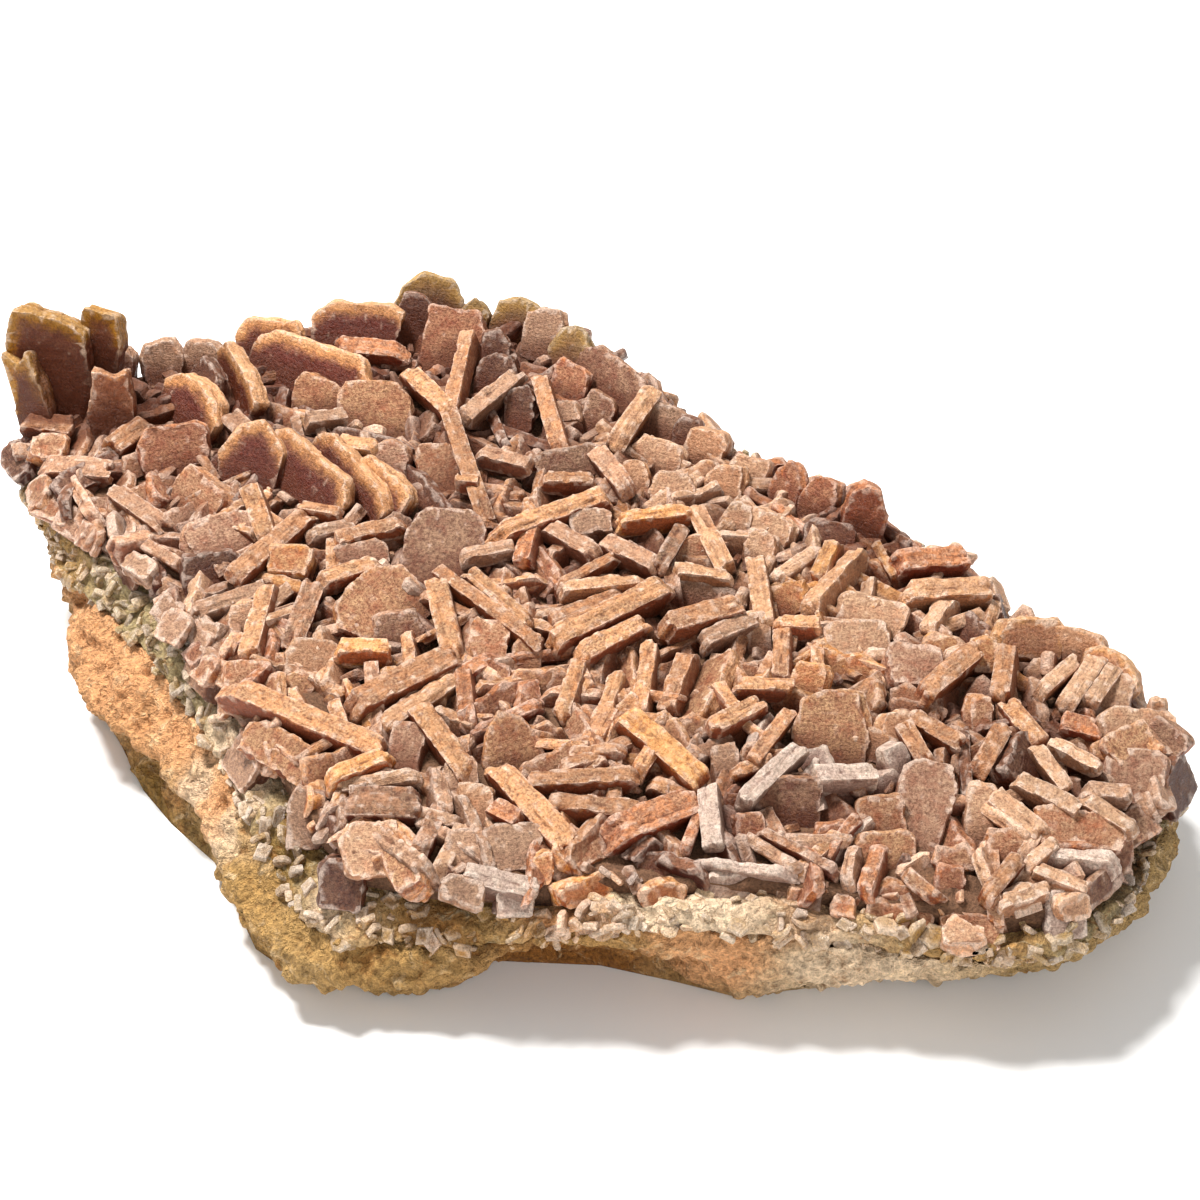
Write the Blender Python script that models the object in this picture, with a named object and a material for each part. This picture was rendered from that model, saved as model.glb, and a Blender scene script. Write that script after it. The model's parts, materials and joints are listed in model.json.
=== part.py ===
"""Red barite specimen: tabular red crystals intergrown over a pale crust on a plate of rock.

Three solids, one above the other: the matrix rock, the pale barite crust that grew on it, and
the red crystals, which are all grown together. Plan positions are millimetres on the specimen,
X to the right and Y to the back, and heights are above the flat sole. The object's own origin is
the middle of its bounding box, at the level of the sole.
"""
import math
import random
from typing import NamedTuple

import bmesh
import bpy
from mathutils import Vector

MM = 0.001

# The specimen as a whole
ORIGIN_X_MM = -13.5
ORIGIN_Y_MM = -6.0
HEART_XY_MM = (-20.0, -20.0)
GAP_MM = 0.3
SIDE_GAP_MM = 0.5
SEED = 5

# Crest surface: the level that most crystal tips reach, a plane that rises to the back
CREST_LEVEL_MM = 66.0
CREST_RISE_BACK = 0.09
CREST_RISE_RIGHT = -0.01

# Depths below the crest surface, away from the broken edge
BED_TOP_DEPTH_MM = 6.0
BED_FLOOR_DEPTH_MM = 20.0
CRUST_FLOOR_DEPTH_MM = 31.0
BED_ROOT_MM = 5.0
RIM_DEPTH_MM = 6.5

# How far in from the edge the rings of the flat surfaces lie
INNER_RINGS = (0.86, 0.55, 0.25)


class Station(NamedTuple):
    """One upright section of the broken edge, from the crystals down to the sole."""

    rim: tuple
    bed: tuple
    crust: tuple
    lip: tuple
    waist: tuple
    foot: tuple


# Broken edge, anticlockwise from the far left corner. The rim is a plan point on the crest
# surface; the rest are X, Y and height: the foot of the red crystals, the foot of the crust, the
# rock's outermost lip, the waist below it and the edge of the sole.
EDGE = [
    Station((-210, 61), (-208, 58, 56), (-202, 46, 44), (-194, 40, 34), (-190, 40, 20), (-184, 40, 0)),
    Station((-191, 35), (-191, 26, 54), (-189, 16, 42), (-185, 17, 32), (-182, 14, 20), (-176, 12, 0)),
    Station((-172, 18), (-168, 2, 52), (-170, -6, 40), (-180, -13, 29), (-179, -16, 19), (-174, -8, 0)),
    Station((-150, -6), (-148, -18, 50), (-148, -33, 40), (-167, -44, 27), (-158, -40, 17), (-162, -31, 0)),
    Station((-132, -32), (-131, -48, 46), (-134, -53, 36), (-147, -61, 24), (-140, -56, 15), (-151, -54, 0)),
    Station((-112, -66), (-112, -80, 44), (-118, -82, 34), (-132, -81, 22), (-128, -76, 13), (-139, -71, 0)),
    Station((-96, -98), (-98, -108, 40), (-104, -112, 30), (-119, -109, 20), (-116, -103, 12), (-122, -90, 0)),
    Station((-84, -122), (-87, -128, 35), (-93, -134, 27), (-106, -135, 20), (-107, -129, 12), (-105, -128, 0)),
    Station((-66, -143), (-73, -146, 33), (-77, -151, 26), (-86, -157, 18), (-90, -152, 9), (-89, -142, 0)),
    Station((-44, -150), (-48, -152, 33), (-50, -156, 26), (-52, -160, 17), (-54, -153, 8), (-57, -143, 0)),
    Station((-28, -152), (-30, -153, 35), (-32, -157, 28), (-34, -158, 20), (-39, -150, 10), (-42, -142, 0)),
    Station((-14, -153), (-15, -154, 38), (-18, -157, 33), (-21, -153, 27), (-31, -139, 15), (-33, -133, 0)),
    Station((6, -154), (6, -153, 42), (4, -157, 37), (3, -154, 30), (1, -139, 16), (0, -135, 0)),
    Station((26, -154), (27, -153, 43), (27, -158, 37), (27, -158, 27), (25, -149, 15), (23, -142, 0)),
    Station((46, -153), (46, -153, 42), (46, -159, 35), (44, -161, 22), (42, -156, 10), (40, -148, 0)),
    Station((68, -156), (68, -156, 40), (68, -160, 33), (68, -162, 23), (67, -153, 9), (66, -144, 0)),
    Station((92, -160), (92, -160, 38), (91, -163, 31), (90, -160, 22), (90, -150, 10), (90, -138, 0)),
    Station((112, -166), (112, -165, 37), (112, -165, 30), (114, -160, 22), (117, -148, 10), (119, -134, 0)),
    Station((130, -166), (134, -163, 37), (137, -160, 31), (140, -154, 23), (143, -143, 12), (141, -130, 0)),
    Station((148, -146), (151, -146, 38), (155, -143, 33), (160, -138, 26), (164, -126, 14), (161, -116, 0)),
    Station((165, -121), (166, -122, 38), (168, -120, 34), (173, -113, 26), (177, -103, 14), (173, -96, 0)),
    Station((176, -98), (177, -99, 40), (178, -98, 34), (181, -90, 26), (183, -81, 14), (177, -73, 0)),
    Station((168, -64), (170, -62, 42), (174, -58, 36), (178, -56, 26), (179, -52, 14), (171, -48, 0)),
    Station((140, -42), (142, -38, 46), (146, -34, 38), (151, -30, 28), (152, -27, 14), (143, -26, 0)),
    Station((118, -8), (121, -4, 50), (125, 0, 40), (128, 5, 30), (129, 6, 15), (121, 4, 0)),
    Station((88, 20), (91, 25, 54), (95, 30, 43), (98, 36, 30), (98, 38, 15), (91, 33, 0)),
    Station((60, 36), (63, 41, 56), (67, 47, 44), (70, 52, 30), (70, 54, 15), (62, 49, 0)),
    Station((38, 64), (42, 69, 58), (46, 75, 46), (51, 81, 32), (50, 83, 15), (42, 76, 0)),
    Station((16, 86), (20, 92, 60), (24, 97, 47), (28, 104, 32), (27, 105, 16), (20, 96, 0)),
    Station((-20, 122), (-17, 128, 62), (-14, 134, 49), (-11, 141, 33), (-12, 142, 16), (-19, 132, 0)),
    Station((-64, 136), (-62, 142, 63), (-61, 147, 50), (-61, 153, 34), (-62, 154, 16), (-64, 143, 0)),
    Station((-102, 121), (-106, 127, 62), (-108, 131, 50), (-110, 137, 34), (-110, 138, 16), (-106, 129, 0)),
    Station((-140, 107), (-143, 112, 61), (-146, 117, 49), (-148, 122, 34), (-147, 122, 16), (-142, 114, 0)),
    Station((-174, 93), (-176, 97, 60), (-178, 101, 48), (-179, 104, 34), (-177, 104, 16), (-170, 97, 0)),
    Station((-203, 82), (-204, 84, 59), (-200, 87, 47), (-196, 88, 34), (-192, 86, 16), (-185, 79, 0)),
]

# Outlines of the crystals seen square on, as fractions of the crest edge and of the width down
# the dip. The crest edge runs along the first coordinate.
BAR = ((0.0, 0.55), (0.08, 0.0), (0.93, 0.04), (1.0, 0.5), (0.90, 1.0), (0.05, 0.95))
TABLET = ((0.0, 0.22), (0.14, 0.0), (0.84, 0.0), (1.0, 0.16), (0.95, 1.0), (0.04, 1.0))
FAN = ((0.0, 0.42), (0.14, 0.10), (0.46, 0.0), (0.80, 0.07), (1.0, 0.36), (0.90, 1.0), (0.10, 1.0))
RHOMB = ((0.0, 0.45), (0.62, 0.0), (1.0, 0.5), (0.45, 1.0))
SHORT_BAR = ((0.0, 0.12), (0.95, 0.0), (1.0, 0.88), (0.06, 1.0))
SHORT_TABLET = ((0.0, 0.30), (0.20, 0.0), (0.92, 0.05), (1.0, 1.0), (0.05, 0.95))
SHORT_BELOW_MM = 26.0
TAPER = 0.90
WARP = 0.05
SINK_MM = 0.7


class Crystal(NamedTuple):
    """One tabular crystal.

    Its crest edge runs from (x1, y1) to (x2, y2), lifted h1 and h2 above the crest surface. The
    plate goes down to the right hand of that edge by its dip, 0 lying flat and 90 on edge, as far
    as its width, and is thick mm through.
    """

    x1: float
    y1: float
    h1: float
    x2: float
    y2: float
    h2: float
    dip: float
    width: float
    thick: float
    outline: tuple


# Tall cluster at the far left corner
FAR_LEFT = [
    Crystal(-207, 71, 31, -177, 67, 41, 88, 52, 9, FAN),
    Crystal(-183, 77, 36, -166, 75, 34, 85, 42, 8, FAN),
    Crystal(-213, 76, 15, -198, 70, 26, 82, 36, 8, FAN),
    Crystal(-177, 60, 21, -161, 62, 19, 78, 26, 7, TABLET),
    Crystal(-202, 61, 3, -183, 58, 3, 35, 12, 6, BAR),
    Crystal(-178, 62, 7, -171, 59, 6, 65, 18, 5, RHOMB),
    Crystal(-193, 41, 0, -167, 37, 1, 40, 12, 7, BAR),
    Crystal(-172, 44, 4, -160, 60, 4, 60, 12, 6, BAR),
    Crystal(-164, 24, 2, -144, 5, 2, 40, 10, 6, BAR),
    Crystal(-178, 24, -2, -166, 12, -3, 50, 11, 7, TABLET),
]

# Upper left, with the honey-rimmed plates
UPPER_LEFT = [
    Crystal(-159, 42, 8, -137, 49, 8, 55, 28, 7, TABLET),
    Crystal(-151, 80, 11, -131, 56, 8, 60, 24, 8, FAN),
    Crystal(-144, 88, 12, -133, 70, 9, 66, 20, 6, FAN),
    Crystal(-136, 93, 12, -121, 64, 9, 76, 24, 6, TABLET),
    Crystal(-124, 105, 12, -80, 77, 8, 60, 36, 7, TABLET),
    Crystal(-129, 65, 4, -118, 50, 4, 40, 12, 9, BAR),
    Crystal(-167, 97, 8, -152, 96, 9, 70, 20, 7, FAN),
    Crystal(-152, 99, 8, -137, 95, 8, 66, 20, 7, TABLET),
    Crystal(-183, 91, 9, -168, 91, 8, 74, 20, 7, TABLET),
    Crystal(-106, 119, 10, -74, 117, 10, 58, 20, 7, TABLET),
    Crystal(-132, 111, 8, -108, 110, 7, 62, 20, 7, TABLET),
    Crystal(-98, 108, 4, -70, 104, 4, 50, 12, 6, BAR),
    Crystal(-78, 133, 12, -50, 133, 12, 70, 26, 8, FAN),
    Crystal(-75, 123, 12, -60, 121, 11, 72, 22, 6, FAN),
    Crystal(-42, 126, 9, -18, 123, 9, 66, 24, 8, FAN),
    Crystal(-64, 114, 10, -40, 110, 10, 52, 38, 10, TABLET),
    Crystal(-46, 108, 9, -51, 63, 4, 40, 8, 7, BAR),
    Crystal(-44, 94, 6, -27, 92, 6, 60, 24, 7, FAN),
    Crystal(-50, 57, 7, -31, 83, 8, 42, 9, 8, BAR),
    Crystal(-51, 61, 8, -36, 6, 5, 34, 9, 8, BAR),
    Crystal(-68, 88, 7, -49, 61, 6, 42, 10, 8, BAR),
    Crystal(-92, 75, 6, -68, 75, 7, 50, 36, 8, TABLET),
    Crystal(-108, 82, 6, -90, 77, 5, 56, 22, 7, TABLET),
    Crystal(-78, 44, 5, -64, 42, 5, 52, 16, 6, FAN),
    Crystal(-128, 49, 10, -104, 41, 9, 50, 28, 8, FAN),
    Crystal(-111, 50, 8, -85, 14, 5, 55, 30, 7, TABLET),
    Crystal(-97, 50, 7, -71, 12, 4, 60, 20, 6, TABLET),
    Crystal(-81, 33, 6, -63, 13, 4, 56, 16, 6, TABLET),
    Crystal(-65, 43, 3, -51, 46, 3, 28, 34, 6, TABLET),
    Crystal(-34, 73, 6, -23, 72, 6, 52, 24, 7, TABLET),
    Crystal(-20, 84, 7, -12, 45, 4, 48, 9, 7, BAR),
    Crystal(-42, 41, 6, -22, 34, 6, 32, 9, 7, BAR),
]

# Back edge, right of the middle
UPPER_RIGHT = [
    Crystal(-27, 115, 12, -11, 111, 12, 60, 20, 7, FAN),
    Crystal(-16, 108, 9, -1, 101, 9, 58, 20, 7, FAN),
    Crystal(-17, 92, 6, -4, 86, 6, 55, 20, 6, TABLET),
    Crystal(-5, 102, 7, 18, 77, 6, 54, 26, 8, TABLET),
    Crystal(-17, 77, 3, -5, 68, 3, 42, 12, 8, RHOMB),
    Crystal(-5, 74, 4, 6, 70, 4, 55, 20, 7, TABLET),
    Crystal(3, 45, 7, 17, 76, 8, 44, 11, 9, BAR),
    Crystal(14, 70, 4, 31, 63, 4, 55, 22, 7, TABLET),
    Crystal(26, 62, 4, 37, 56, 4, 60, 14, 6, FAN),
    Crystal(30, 54, 5, 44, 47, 5, 60, 20, 9, TABLET),
    Crystal(13, 49, 4, 30, 43, 4, 56, 22, 6, TABLET),
    Crystal(18, 28, 3, 34, 28, 3, 50, 20, 6, TABLET),
    Crystal(6, 37, 3, 18, 35, 3, 46, 16, 6, FAN),
    Crystal(38, 33, 3, 51, 29, 3, 56, 24, 6, TABLET),
    Crystal(45, 42, 3, 59, 33, 3, 56, 24, 7, TABLET),
    Crystal(60, 31, 6, 70, 24, 8, 64, 20, 7, FAN),
    Crystal(-24, 37, 5, 0, 43, 5, 50, 12, 6, TABLET),
    Crystal(0, 43, 6, 12, 22, 4, 40, 10, 8, BAR),
    Crystal(72, 24, 8, 83, 17, 6, 62, 20, 7, FAN),
    Crystal(69, 8, 2, 86, 2, 3, 50, 18, 7, TABLET),
    Crystal(50, 11, 2, 66, 5, 2, 46, 16, 6, TABLET),
]

# Left of the middle, down to the broken edge
LEFT = [
    Crystal(-142, 31, 4, -124, 12, 4, 50, 22, 7, TABLET),
    Crystal(-117, 22, 6, -108, -3, 2, 54, 10, 8, BAR),
    Crystal(-140, -4, 3, -118, 10, 3, 36, 16, 6, TABLET),
    Crystal(-122, -25, 3, -99, 8, 5, 36, 10, 7, BAR),
    Crystal(-139, -19, 2, -118, -13, 2, 60, 18, 7, TABLET),
    Crystal(-133, -37, 0, -108, -26, 2, 42, 9, 7, BAR),
    Crystal(-120, -38, 0, -109, -36, 0, 50, 20, 6, TABLET),
    Crystal(-105, -27, 3, -108, -62, 1, 34, 9, 8, BAR),
    Crystal(-100, -56, 3, -95, -25, 4, 30, 11, 8, BAR),
    Crystal(-118, -65, 0, -103, -61, 0, 36, 12, 8, TABLET),
    Crystal(-114, -72, 3, -62, -100, 2, 34, 12, 10, BAR),
    Crystal(-105, -86, -2, -80, -103, -3, 32, 12, 9, TABLET),
    Crystal(-128, -48, -6, -117, -60, -6, 60, 14, 7, TABLET),
    Crystal(-112, -84, -8, -103, -98, -8, 60, 14, 7, TABLET),
]

# Middle of the specimen
MIDDLE = [
    Crystal(-89, -5, 4, -64, 6, 4, 36, 8, 6, BAR),
    Crystal(-91, -10, 2, -70, -5, 1, 40, 16, 6, TABLET),
    Crystal(-93, -26, 4, -72, -15, 4, 36, 9, 7, BAR),
    Crystal(-63, 6, 5, -38, -1, 5, 32, 34, 6, TABLET),
    Crystal(-89, -42, 4, -70, -17, 5, 28, 24, 6, FAN),
    Crystal(-73, -43, 2, -56, -40, 2, 50, 20, 7, FAN),
    Crystal(-99, -56, 2, -82, -56, 2, 36, 16, 6, TABLET),
    Crystal(-79, -82, 4, -46, -58, 5, 36, 13, 10, BAR),
    Crystal(-70, -91, 0, -46, -67, 1, 34, 9, 8, BAR),
    Crystal(-54, -20, 6, -19, -55, 5, 40, 7, 7, BAR),
    Crystal(-42, -20, 4, -20, -46, 3, 40, 8, 7, BAR),
    Crystal(-50, -28, 6, -43, -60, 3, 34, 11, 9, BAR),
    Crystal(-42, -46, 3, -28, -48, 3, 30, 14, 6, TABLET),
    Crystal(-38, -5, 6, 1, 18, 6, 36, 10, 9, BAR),
    Crystal(-27, -53, 2, -17, -54, 2, 46, 20, 6, TABLET),
    Crystal(6, 4, 6, 31, 10, 6, 26, 8, 8, BAR),
    Crystal(-17, 3, 5, 0, -12, 5, 36, 9, 7, BAR),
    Crystal(0, -4, 5, 19, -17, 5, 40, 9, 8, BAR),
    Crystal(17, -21, 5, 26, 2, 5, 44, 8, 7, BAR),
    Crystal(-14, -31, 5, 14, -26, 5, 26, 7, 7, BAR),
    Crystal(-19, -45, 4, 8, -30, 4, 36, 8, 7, BAR),
    Crystal(-18, -55, 6, 20, -27, 7, 40, 12, 10, BAR),
    Crystal(-9, -61, 4, 14, -43, 4, 40, 9, 8, BAR),
    Crystal(18, -46, 5, 45, -35, 6, 36, 12, 9, BAR),
    Crystal(30, -52, 3, 49, -40, 3, 36, 9, 7, BAR),
    Crystal(53, -14, 4, 55, -46, 2, 40, 9, 8, BAR),
    Crystal(33, 15, 5, 44, -20, 4, 44, 10, 9, BAR),
    Crystal(22, -6, 3, 36, -4, 3, 46, 14, 8, TABLET),
    Crystal(49, 0, 3, 61, -4, 3, 50, 14, 7, FAN),
    Crystal(57, -22, 4, 70, -30, 4, 50, 16, 7, RHOMB),
    Crystal(18, -52, 2, 14, -84, 0, 40, 8, 7, BAR),
    Crystal(42, -58, 2, 30, -87, -1, 36, 12, 7, TABLET),
    Crystal(30, -58, 2, 22, -84, -1, 40, 9, 7, BAR),
    Crystal(60, -47, 3, 58, -70, 2, 40, 8, 7, BAR),
    Crystal(-4, -62, 2, -10, -87, 0, 40, 8, 7, BAR),
    Crystal(8, -68, 1, 1, -91, -1, 40, 8, 7, BAR),
    Crystal(-41, -64, 2, -38, -89, 0, 40, 8, 7, BAR),
]

# Dusty right part
RIGHT = [
    Crystal(81, 7, 14, 96, 3, 14, 80, 22, 8, FAN),
    Crystal(87, -12, 5, 68, -38, 3, 44, 9, 8, BAR),
    Crystal(95, -14, 5, 121, -10, 5, 44, 12, 9, BAR),
    Crystal(97, -28, 5, 127, -25, 5, 38, 12, 9, BAR),
    Crystal(78, -30, 2, 98, -37, 2, 36, 12, 7, TABLET),
    Crystal(72, -45, 2, 93, -43, 2, 32, 12, 7, TABLET),
    Crystal(88, -57, 3, 107, -56, 3, 22, 14, 7, TABLET),
    Crystal(96, -78, 5, 116, -56, 5, 40, 11, 10, BAR),
    Crystal(130, -57, 5, 125, -81, 4, 36, 9, 9, BAR),
    Crystal(126, -79, 4, 136, -100, 4, 36, 9, 9, BAR),
    Crystal(125, -47, 6, 149, -46, 5, 52, 14, 9, FAN),
    Crystal(139, -45, 3, 160, -56, 3, 60, 16, 9, TABLET),
    Crystal(141, -81, 5, 154, -60, 5, 40, 9, 8, BAR),
    Crystal(151, -68, 2, 166, -70, 2, 26, 14, 6, TABLET),
    Crystal(155, -56, 6, 168, -73, 3, 56, 12, 8, FAN),
    Crystal(152, -83, 2, 176, -85, 1, 24, 14, 8, TABLET),
    Crystal(167, -83, 4, 174, -84, 4, 78, 12, 6, FAN),
    Crystal(152, -101, 2, 171, -102, 1, 30, 18, 7, TABLET),
    Crystal(119, -114, 4, 127, -95, 5, 50, 14, 7, TABLET),
    Crystal(124, -112, 4, 142, -125, 3, 36, 8, 7, BAR),
    Crystal(117, -118, 3, 132, -134, 1, 36, 9, 8, BAR),
    Crystal(128, -124, 2, 156, -127, 0, 28, 12, 8, TABLET),
    Crystal(131, -136, -2, 147, -137, -3, 60, 14, 8, TABLET),
    Crystal(168, -112, -4, 178, -94, -4, 66, 14, 7, TABLET),
]

# Front, left of the middle
FRONT_LEFT = [
    Crystal(-82, -114, 3, -63, -103, 3, 32, 8, 8, BAR),
    Crystal(-54, -82, 4, -37, -109, 2, 32, 11, 9, BAR),
    Crystal(-63, -90, 2, -51, -92, 2, 32, 24, 6, TABLET),
    Crystal(-37, -99, 6, -19, -91, 6, 50, 30, 7, FAN),
    Crystal(-47, -108, 1, -36, -107, 1, 36, 16, 6, TABLET),
    Crystal(-75, -120, 3, -50, -120, 3, 46, 15, 9, BAR),
    Crystal(-43, -118, 1, -32, -117, 1, 36, 18, 7, TABLET),
    Crystal(-76, -134, 0, -57, -131, 0, 36, 16, 7, TABLET),
    Crystal(-58, -133, 0, -50, -151, -3, 32, 10, 8, TABLET),
    Crystal(-47, -135, 0, -34, -133, 0, 36, 18, 7, TABLET),
    Crystal(-40, -144, -3, -18, -150, -3, 42, 9, 8, BAR),
    Crystal(-34, -132, 1, -17, -131, 1, 32, 15, 6, TABLET),
    Crystal(-92, -113, -4, -80, -116, -4, 56, 18, 8, TABLET),
    Crystal(-82, -139, -7, -68, -141, -7, 56, 14, 9, TABLET),
]

# Front, middle and right
FRONT_RIGHT = [
    Crystal(8, -86, 7, 33, -113, 3, 36, 12, 10, BAR),
    Crystal(7, -80, 1, -6, -111, -1, 36, 10, 7, BAR),
    Crystal(-22, -113, 2, 13, -110, 2, 32, 8, 7, BAR),
    Crystal(-16, -120, 2, 13, -124, 2, 32, 9, 7, BAR),
    Crystal(0, -133, 3, 27, -119, 4, 46, 14, 8, BAR),
    Crystal(-28, -108, 4, -5, -138, 1, 32, 12, 9, BAR),
    Crystal(34, -118, 4, 35, -139, 0, 40, 9, 8, BAR),
    Crystal(39, -125, 5, 59, -102, 6, 40, 8, 8, BAR),
    Crystal(44, -106, 3, 57, -84, 3, 40, 7, 7, BAR),
    Crystal(31, -93, 4, 49, -80, 4, 36, 9, 8, BAR),
    Crystal(46, -117, 5, 66, -117, 5, 58, 26, 8, TABLET),
    Crystal(60, -84, 7, 83, -86, 8, 46, 34, 8, FAN),
    Crystal(92, -105, 4, 108, -111, 4, 27, 34, 6, TABLET),
    Crystal(108, -116, 3, 117, -117, 3, 40, 32, 8, TABLET),
    Crystal(75, -122, 2, 91, -121, 2, 46, 13, 8, TABLET),
    Crystal(74, -134, 0, 91, -134, 0, 50, 16, 8, TABLET),
    Crystal(62, -131, 0, 74, -130, 0, 50, 18, 7, TABLET),
    Crystal(110, -111, 5, 120, -92, 5, 42, 9, 8, BAR),
    Crystal(80, -148, -5, 97, -152, -6, 50, 12, 8, TABLET),
    Crystal(10, -138, -3, 26, -140, -4, 50, 14, 8, TABLET),
]

CRYSTALS = FAR_LEFT + UPPER_LEFT + UPPER_RIGHT + LEFT + MIDDLE + RIGHT + FRONT_LEFT + FRONT_RIGHT


def crest_height(x, y):
    """Height of the crest surface over a plan point."""
    return CREST_LEVEL_MM + CREST_RISE_BACK * y + CREST_RISE_RIGHT * x


def to_world(point_mm):
    """Specimen millimetres to metres from the object's origin."""
    x, y, z = point_mm
    return Vector(((x - ORIGIN_X_MM) * MM, (y - ORIGIN_Y_MM) * MM, z * MM))


def clear_scene():
    """Remove whatever the opened scene holds."""
    for item in list(bpy.data.objects):
        bpy.data.objects.remove(item, do_unlink=True)


def stone_material(name, colour, roughness):
    """A Principled material of one plain colour."""
    material = bpy.data.materials.new(name)
    material.use_nodes = True
    shader = material.node_tree.nodes["Principled BSDF"]
    shader.inputs["Base Color"].default_value = (*colour, 1.0)
    shader.inputs["Roughness"].default_value = roughness
    shader.inputs["Metallic"].default_value = 0.0
    return material


def mesh_object(name, vertices_mm, faces):
    """A closed mesh object with its faces turned outward."""
    mesh = bpy.data.meshes.new(name)
    mesh.from_pydata([to_world(v) for v in vertices_mm], [], faces)
    builder = bmesh.new()
    builder.from_mesh(mesh)
    bmesh.ops.recalc_face_normals(builder, faces=builder.faces)
    builder.to_mesh(mesh)
    builder.free()
    item = bpy.data.objects.new(name, mesh)
    bpy.context.scene.collection.objects.link(item)
    return item


def split_quad(points, a, b, c, d):
    """The two triangles of a four-sided patch, split along its shorter diagonal."""
    if math.dist(points[a], points[c]) <= math.dist(points[b], points[d]):
        return [(a, b, c), (a, c, d)]
    return [(a, b, d), (b, c, d)]


def closed_loft(name, rings, first_centre, last_centre):
    """Skin a row of rings with triangles and close both ends on a centre point."""
    count = len(rings[0])
    vertices = [point for ring in rings for point in ring] + [first_centre, last_centre]
    first_index = len(vertices) - 2
    last_index = len(vertices) - 1
    faces = []
    for level in range(len(rings) - 1):
        low = level * count
        high = low + count
        for here in range(count):
            after = (here + 1) % count
            faces += split_quad(vertices, low + here, low + after, high + after, high + here)
    top = (len(rings) - 1) * count
    for here in range(count):
        after = (here + 1) % count
        faces.append((first_index, after, here))
        faces.append((last_index, top + here, top + after))
    return mesh_object(name, vertices, faces)


def flat_rings(outer, depth_mm, lift_mm):
    """The outer ring and its inner rings, running in to a plane below the crest surface."""
    heart_x, heart_y = HEART_XY_MM
    rings = [[(x, y, z + lift_mm) for x, y, z in outer]]
    for share in INNER_RINGS:
        ring = []
        for x, y, _ in outer:
            px = heart_x + (x - heart_x) * share
            py = heart_y + (y - heart_y) * share
            ring.append((px, py, crest_height(px, py) - depth_mm + lift_mm))
        rings.append(ring)
    return rings


def heart_point(depth_mm, lift_mm):
    """The middle point of a flat surface."""
    x, y = HEART_XY_MM
    return (x, y, crest_height(x, y) - depth_mm + lift_mm)


def pushed_out(ring, distance_mm, lift_mm):
    """The ring moved outward in plan, away from the specimen's heart."""
    heart_x, heart_y = HEART_XY_MM
    moved = []
    for x, y, z in ring:
        reach = math.hypot(x - heart_x, y - heart_y)
        grow = (reach + distance_mm) / reach
        moved.append((heart_x + (x - heart_x) * grow, heart_y + (y - heart_y) * grow, z + lift_mm))
    return moved


def build_rock():
    """The matrix rock: flat sole, waist, overhanging lip and the top that the crust covers."""
    sole_centre = (*HEART_XY_MM, 0.0)
    top = flat_rings([s.crust for s in EDGE], CRUST_FLOOR_DEPTH_MM, 0.0)
    rings = [[s.foot for s in EDGE], [s.waist for s in EDGE], [s.lip for s in EDGE]] + top
    rock = closed_loft("matrix_rock", rings, sole_centre, heart_point(CRUST_FLOOR_DEPTH_MM, 0.0))
    rock.data.materials.append(stone_material("sandy_limestone_matrix", (0.58, 0.40, 0.20), 0.9))
    return rock


def build_crust():
    """The pale barite crust, which lies on the rock and carries the red crystals."""
    floor = flat_rings([s.crust for s in EDGE], CRUST_FLOOR_DEPTH_MM, GAP_MM)
    roof = flat_rings([s.bed for s in EDGE], BED_FLOOR_DEPTH_MM, 0.0)
    rings = floor[::-1] + roof
    floor_centre = heart_point(CRUST_FLOOR_DEPTH_MM, GAP_MM)
    crust = closed_loft("pale_barite_crust", rings, floor_centre, heart_point(BED_FLOOR_DEPTH_MM, 0.0))
    crust.data.materials.append(stone_material("pale_barite", (0.42, 0.38, 0.24), 0.5))
    return crust


def crystal_bed():
    """The mass of small crystals that the large ones stand in, rooted a little too deep."""
    root = flat_rings([s.bed for s in EDGE], BED_FLOOR_DEPTH_MM, -BED_ROOT_MM)
    rim = [(*s.rim, crest_height(*s.rim) - RIM_DEPTH_MM) for s in EDGE]
    roof = flat_rings(rim, BED_TOP_DEPTH_MM, 0.0)
    root_centre = heart_point(BED_FLOOR_DEPTH_MM, -BED_ROOT_MM)
    return closed_loft("bed", root[::-1] + roof, root_centre, heart_point(BED_TOP_DEPTH_MM, 0.0))


def underlay():
    """The room that crust and rock take up, with the gap, which is cut from the crystals."""
    roof = flat_rings([s.bed for s in EDGE], BED_FLOOR_DEPTH_MM, GAP_MM)
    walls = [
        pushed_out([s.foot for s in EDGE], SIDE_GAP_MM, -BED_ROOT_MM),
        pushed_out([s.waist for s in EDGE], SIDE_GAP_MM, 0.0),
        pushed_out([s.lip for s in EDGE], SIDE_GAP_MM, GAP_MM),
        pushed_out([s.crust for s in EDGE], SIDE_GAP_MM, GAP_MM),
        pushed_out([s.bed for s in EDGE], SIDE_GAP_MM, 0.0),
    ]
    sole_centre = (*HEART_XY_MM, -BED_ROOT_MM)
    return closed_loft("underlay", walls + roof, sole_centre, heart_point(BED_FLOOR_DEPTH_MM, GAP_MM))


def crystal_axes(crystal):
    """Corner, unit directions and crest length of a crystal, in specimen millimetres."""
    start = Vector((crystal.x1, crystal.y1, crest_height(crystal.x1, crystal.y1) + crystal.h1))
    end = Vector((crystal.x2, crystal.y2, crest_height(crystal.x2, crystal.y2) + crystal.h2))
    along = (end - start).normalized()
    right_hand = Vector((along.y, -along.x, 0.0)).normalized()
    dip = math.radians(crystal.dip)
    down = right_hand * math.cos(dip) - Vector((0.0, 0.0, 1.0)) * math.sin(dip)
    down = (down - along * down.dot(along)).normalized()
    outward = down.cross(along)
    return start, along, down, outward, (end - start).length


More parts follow.
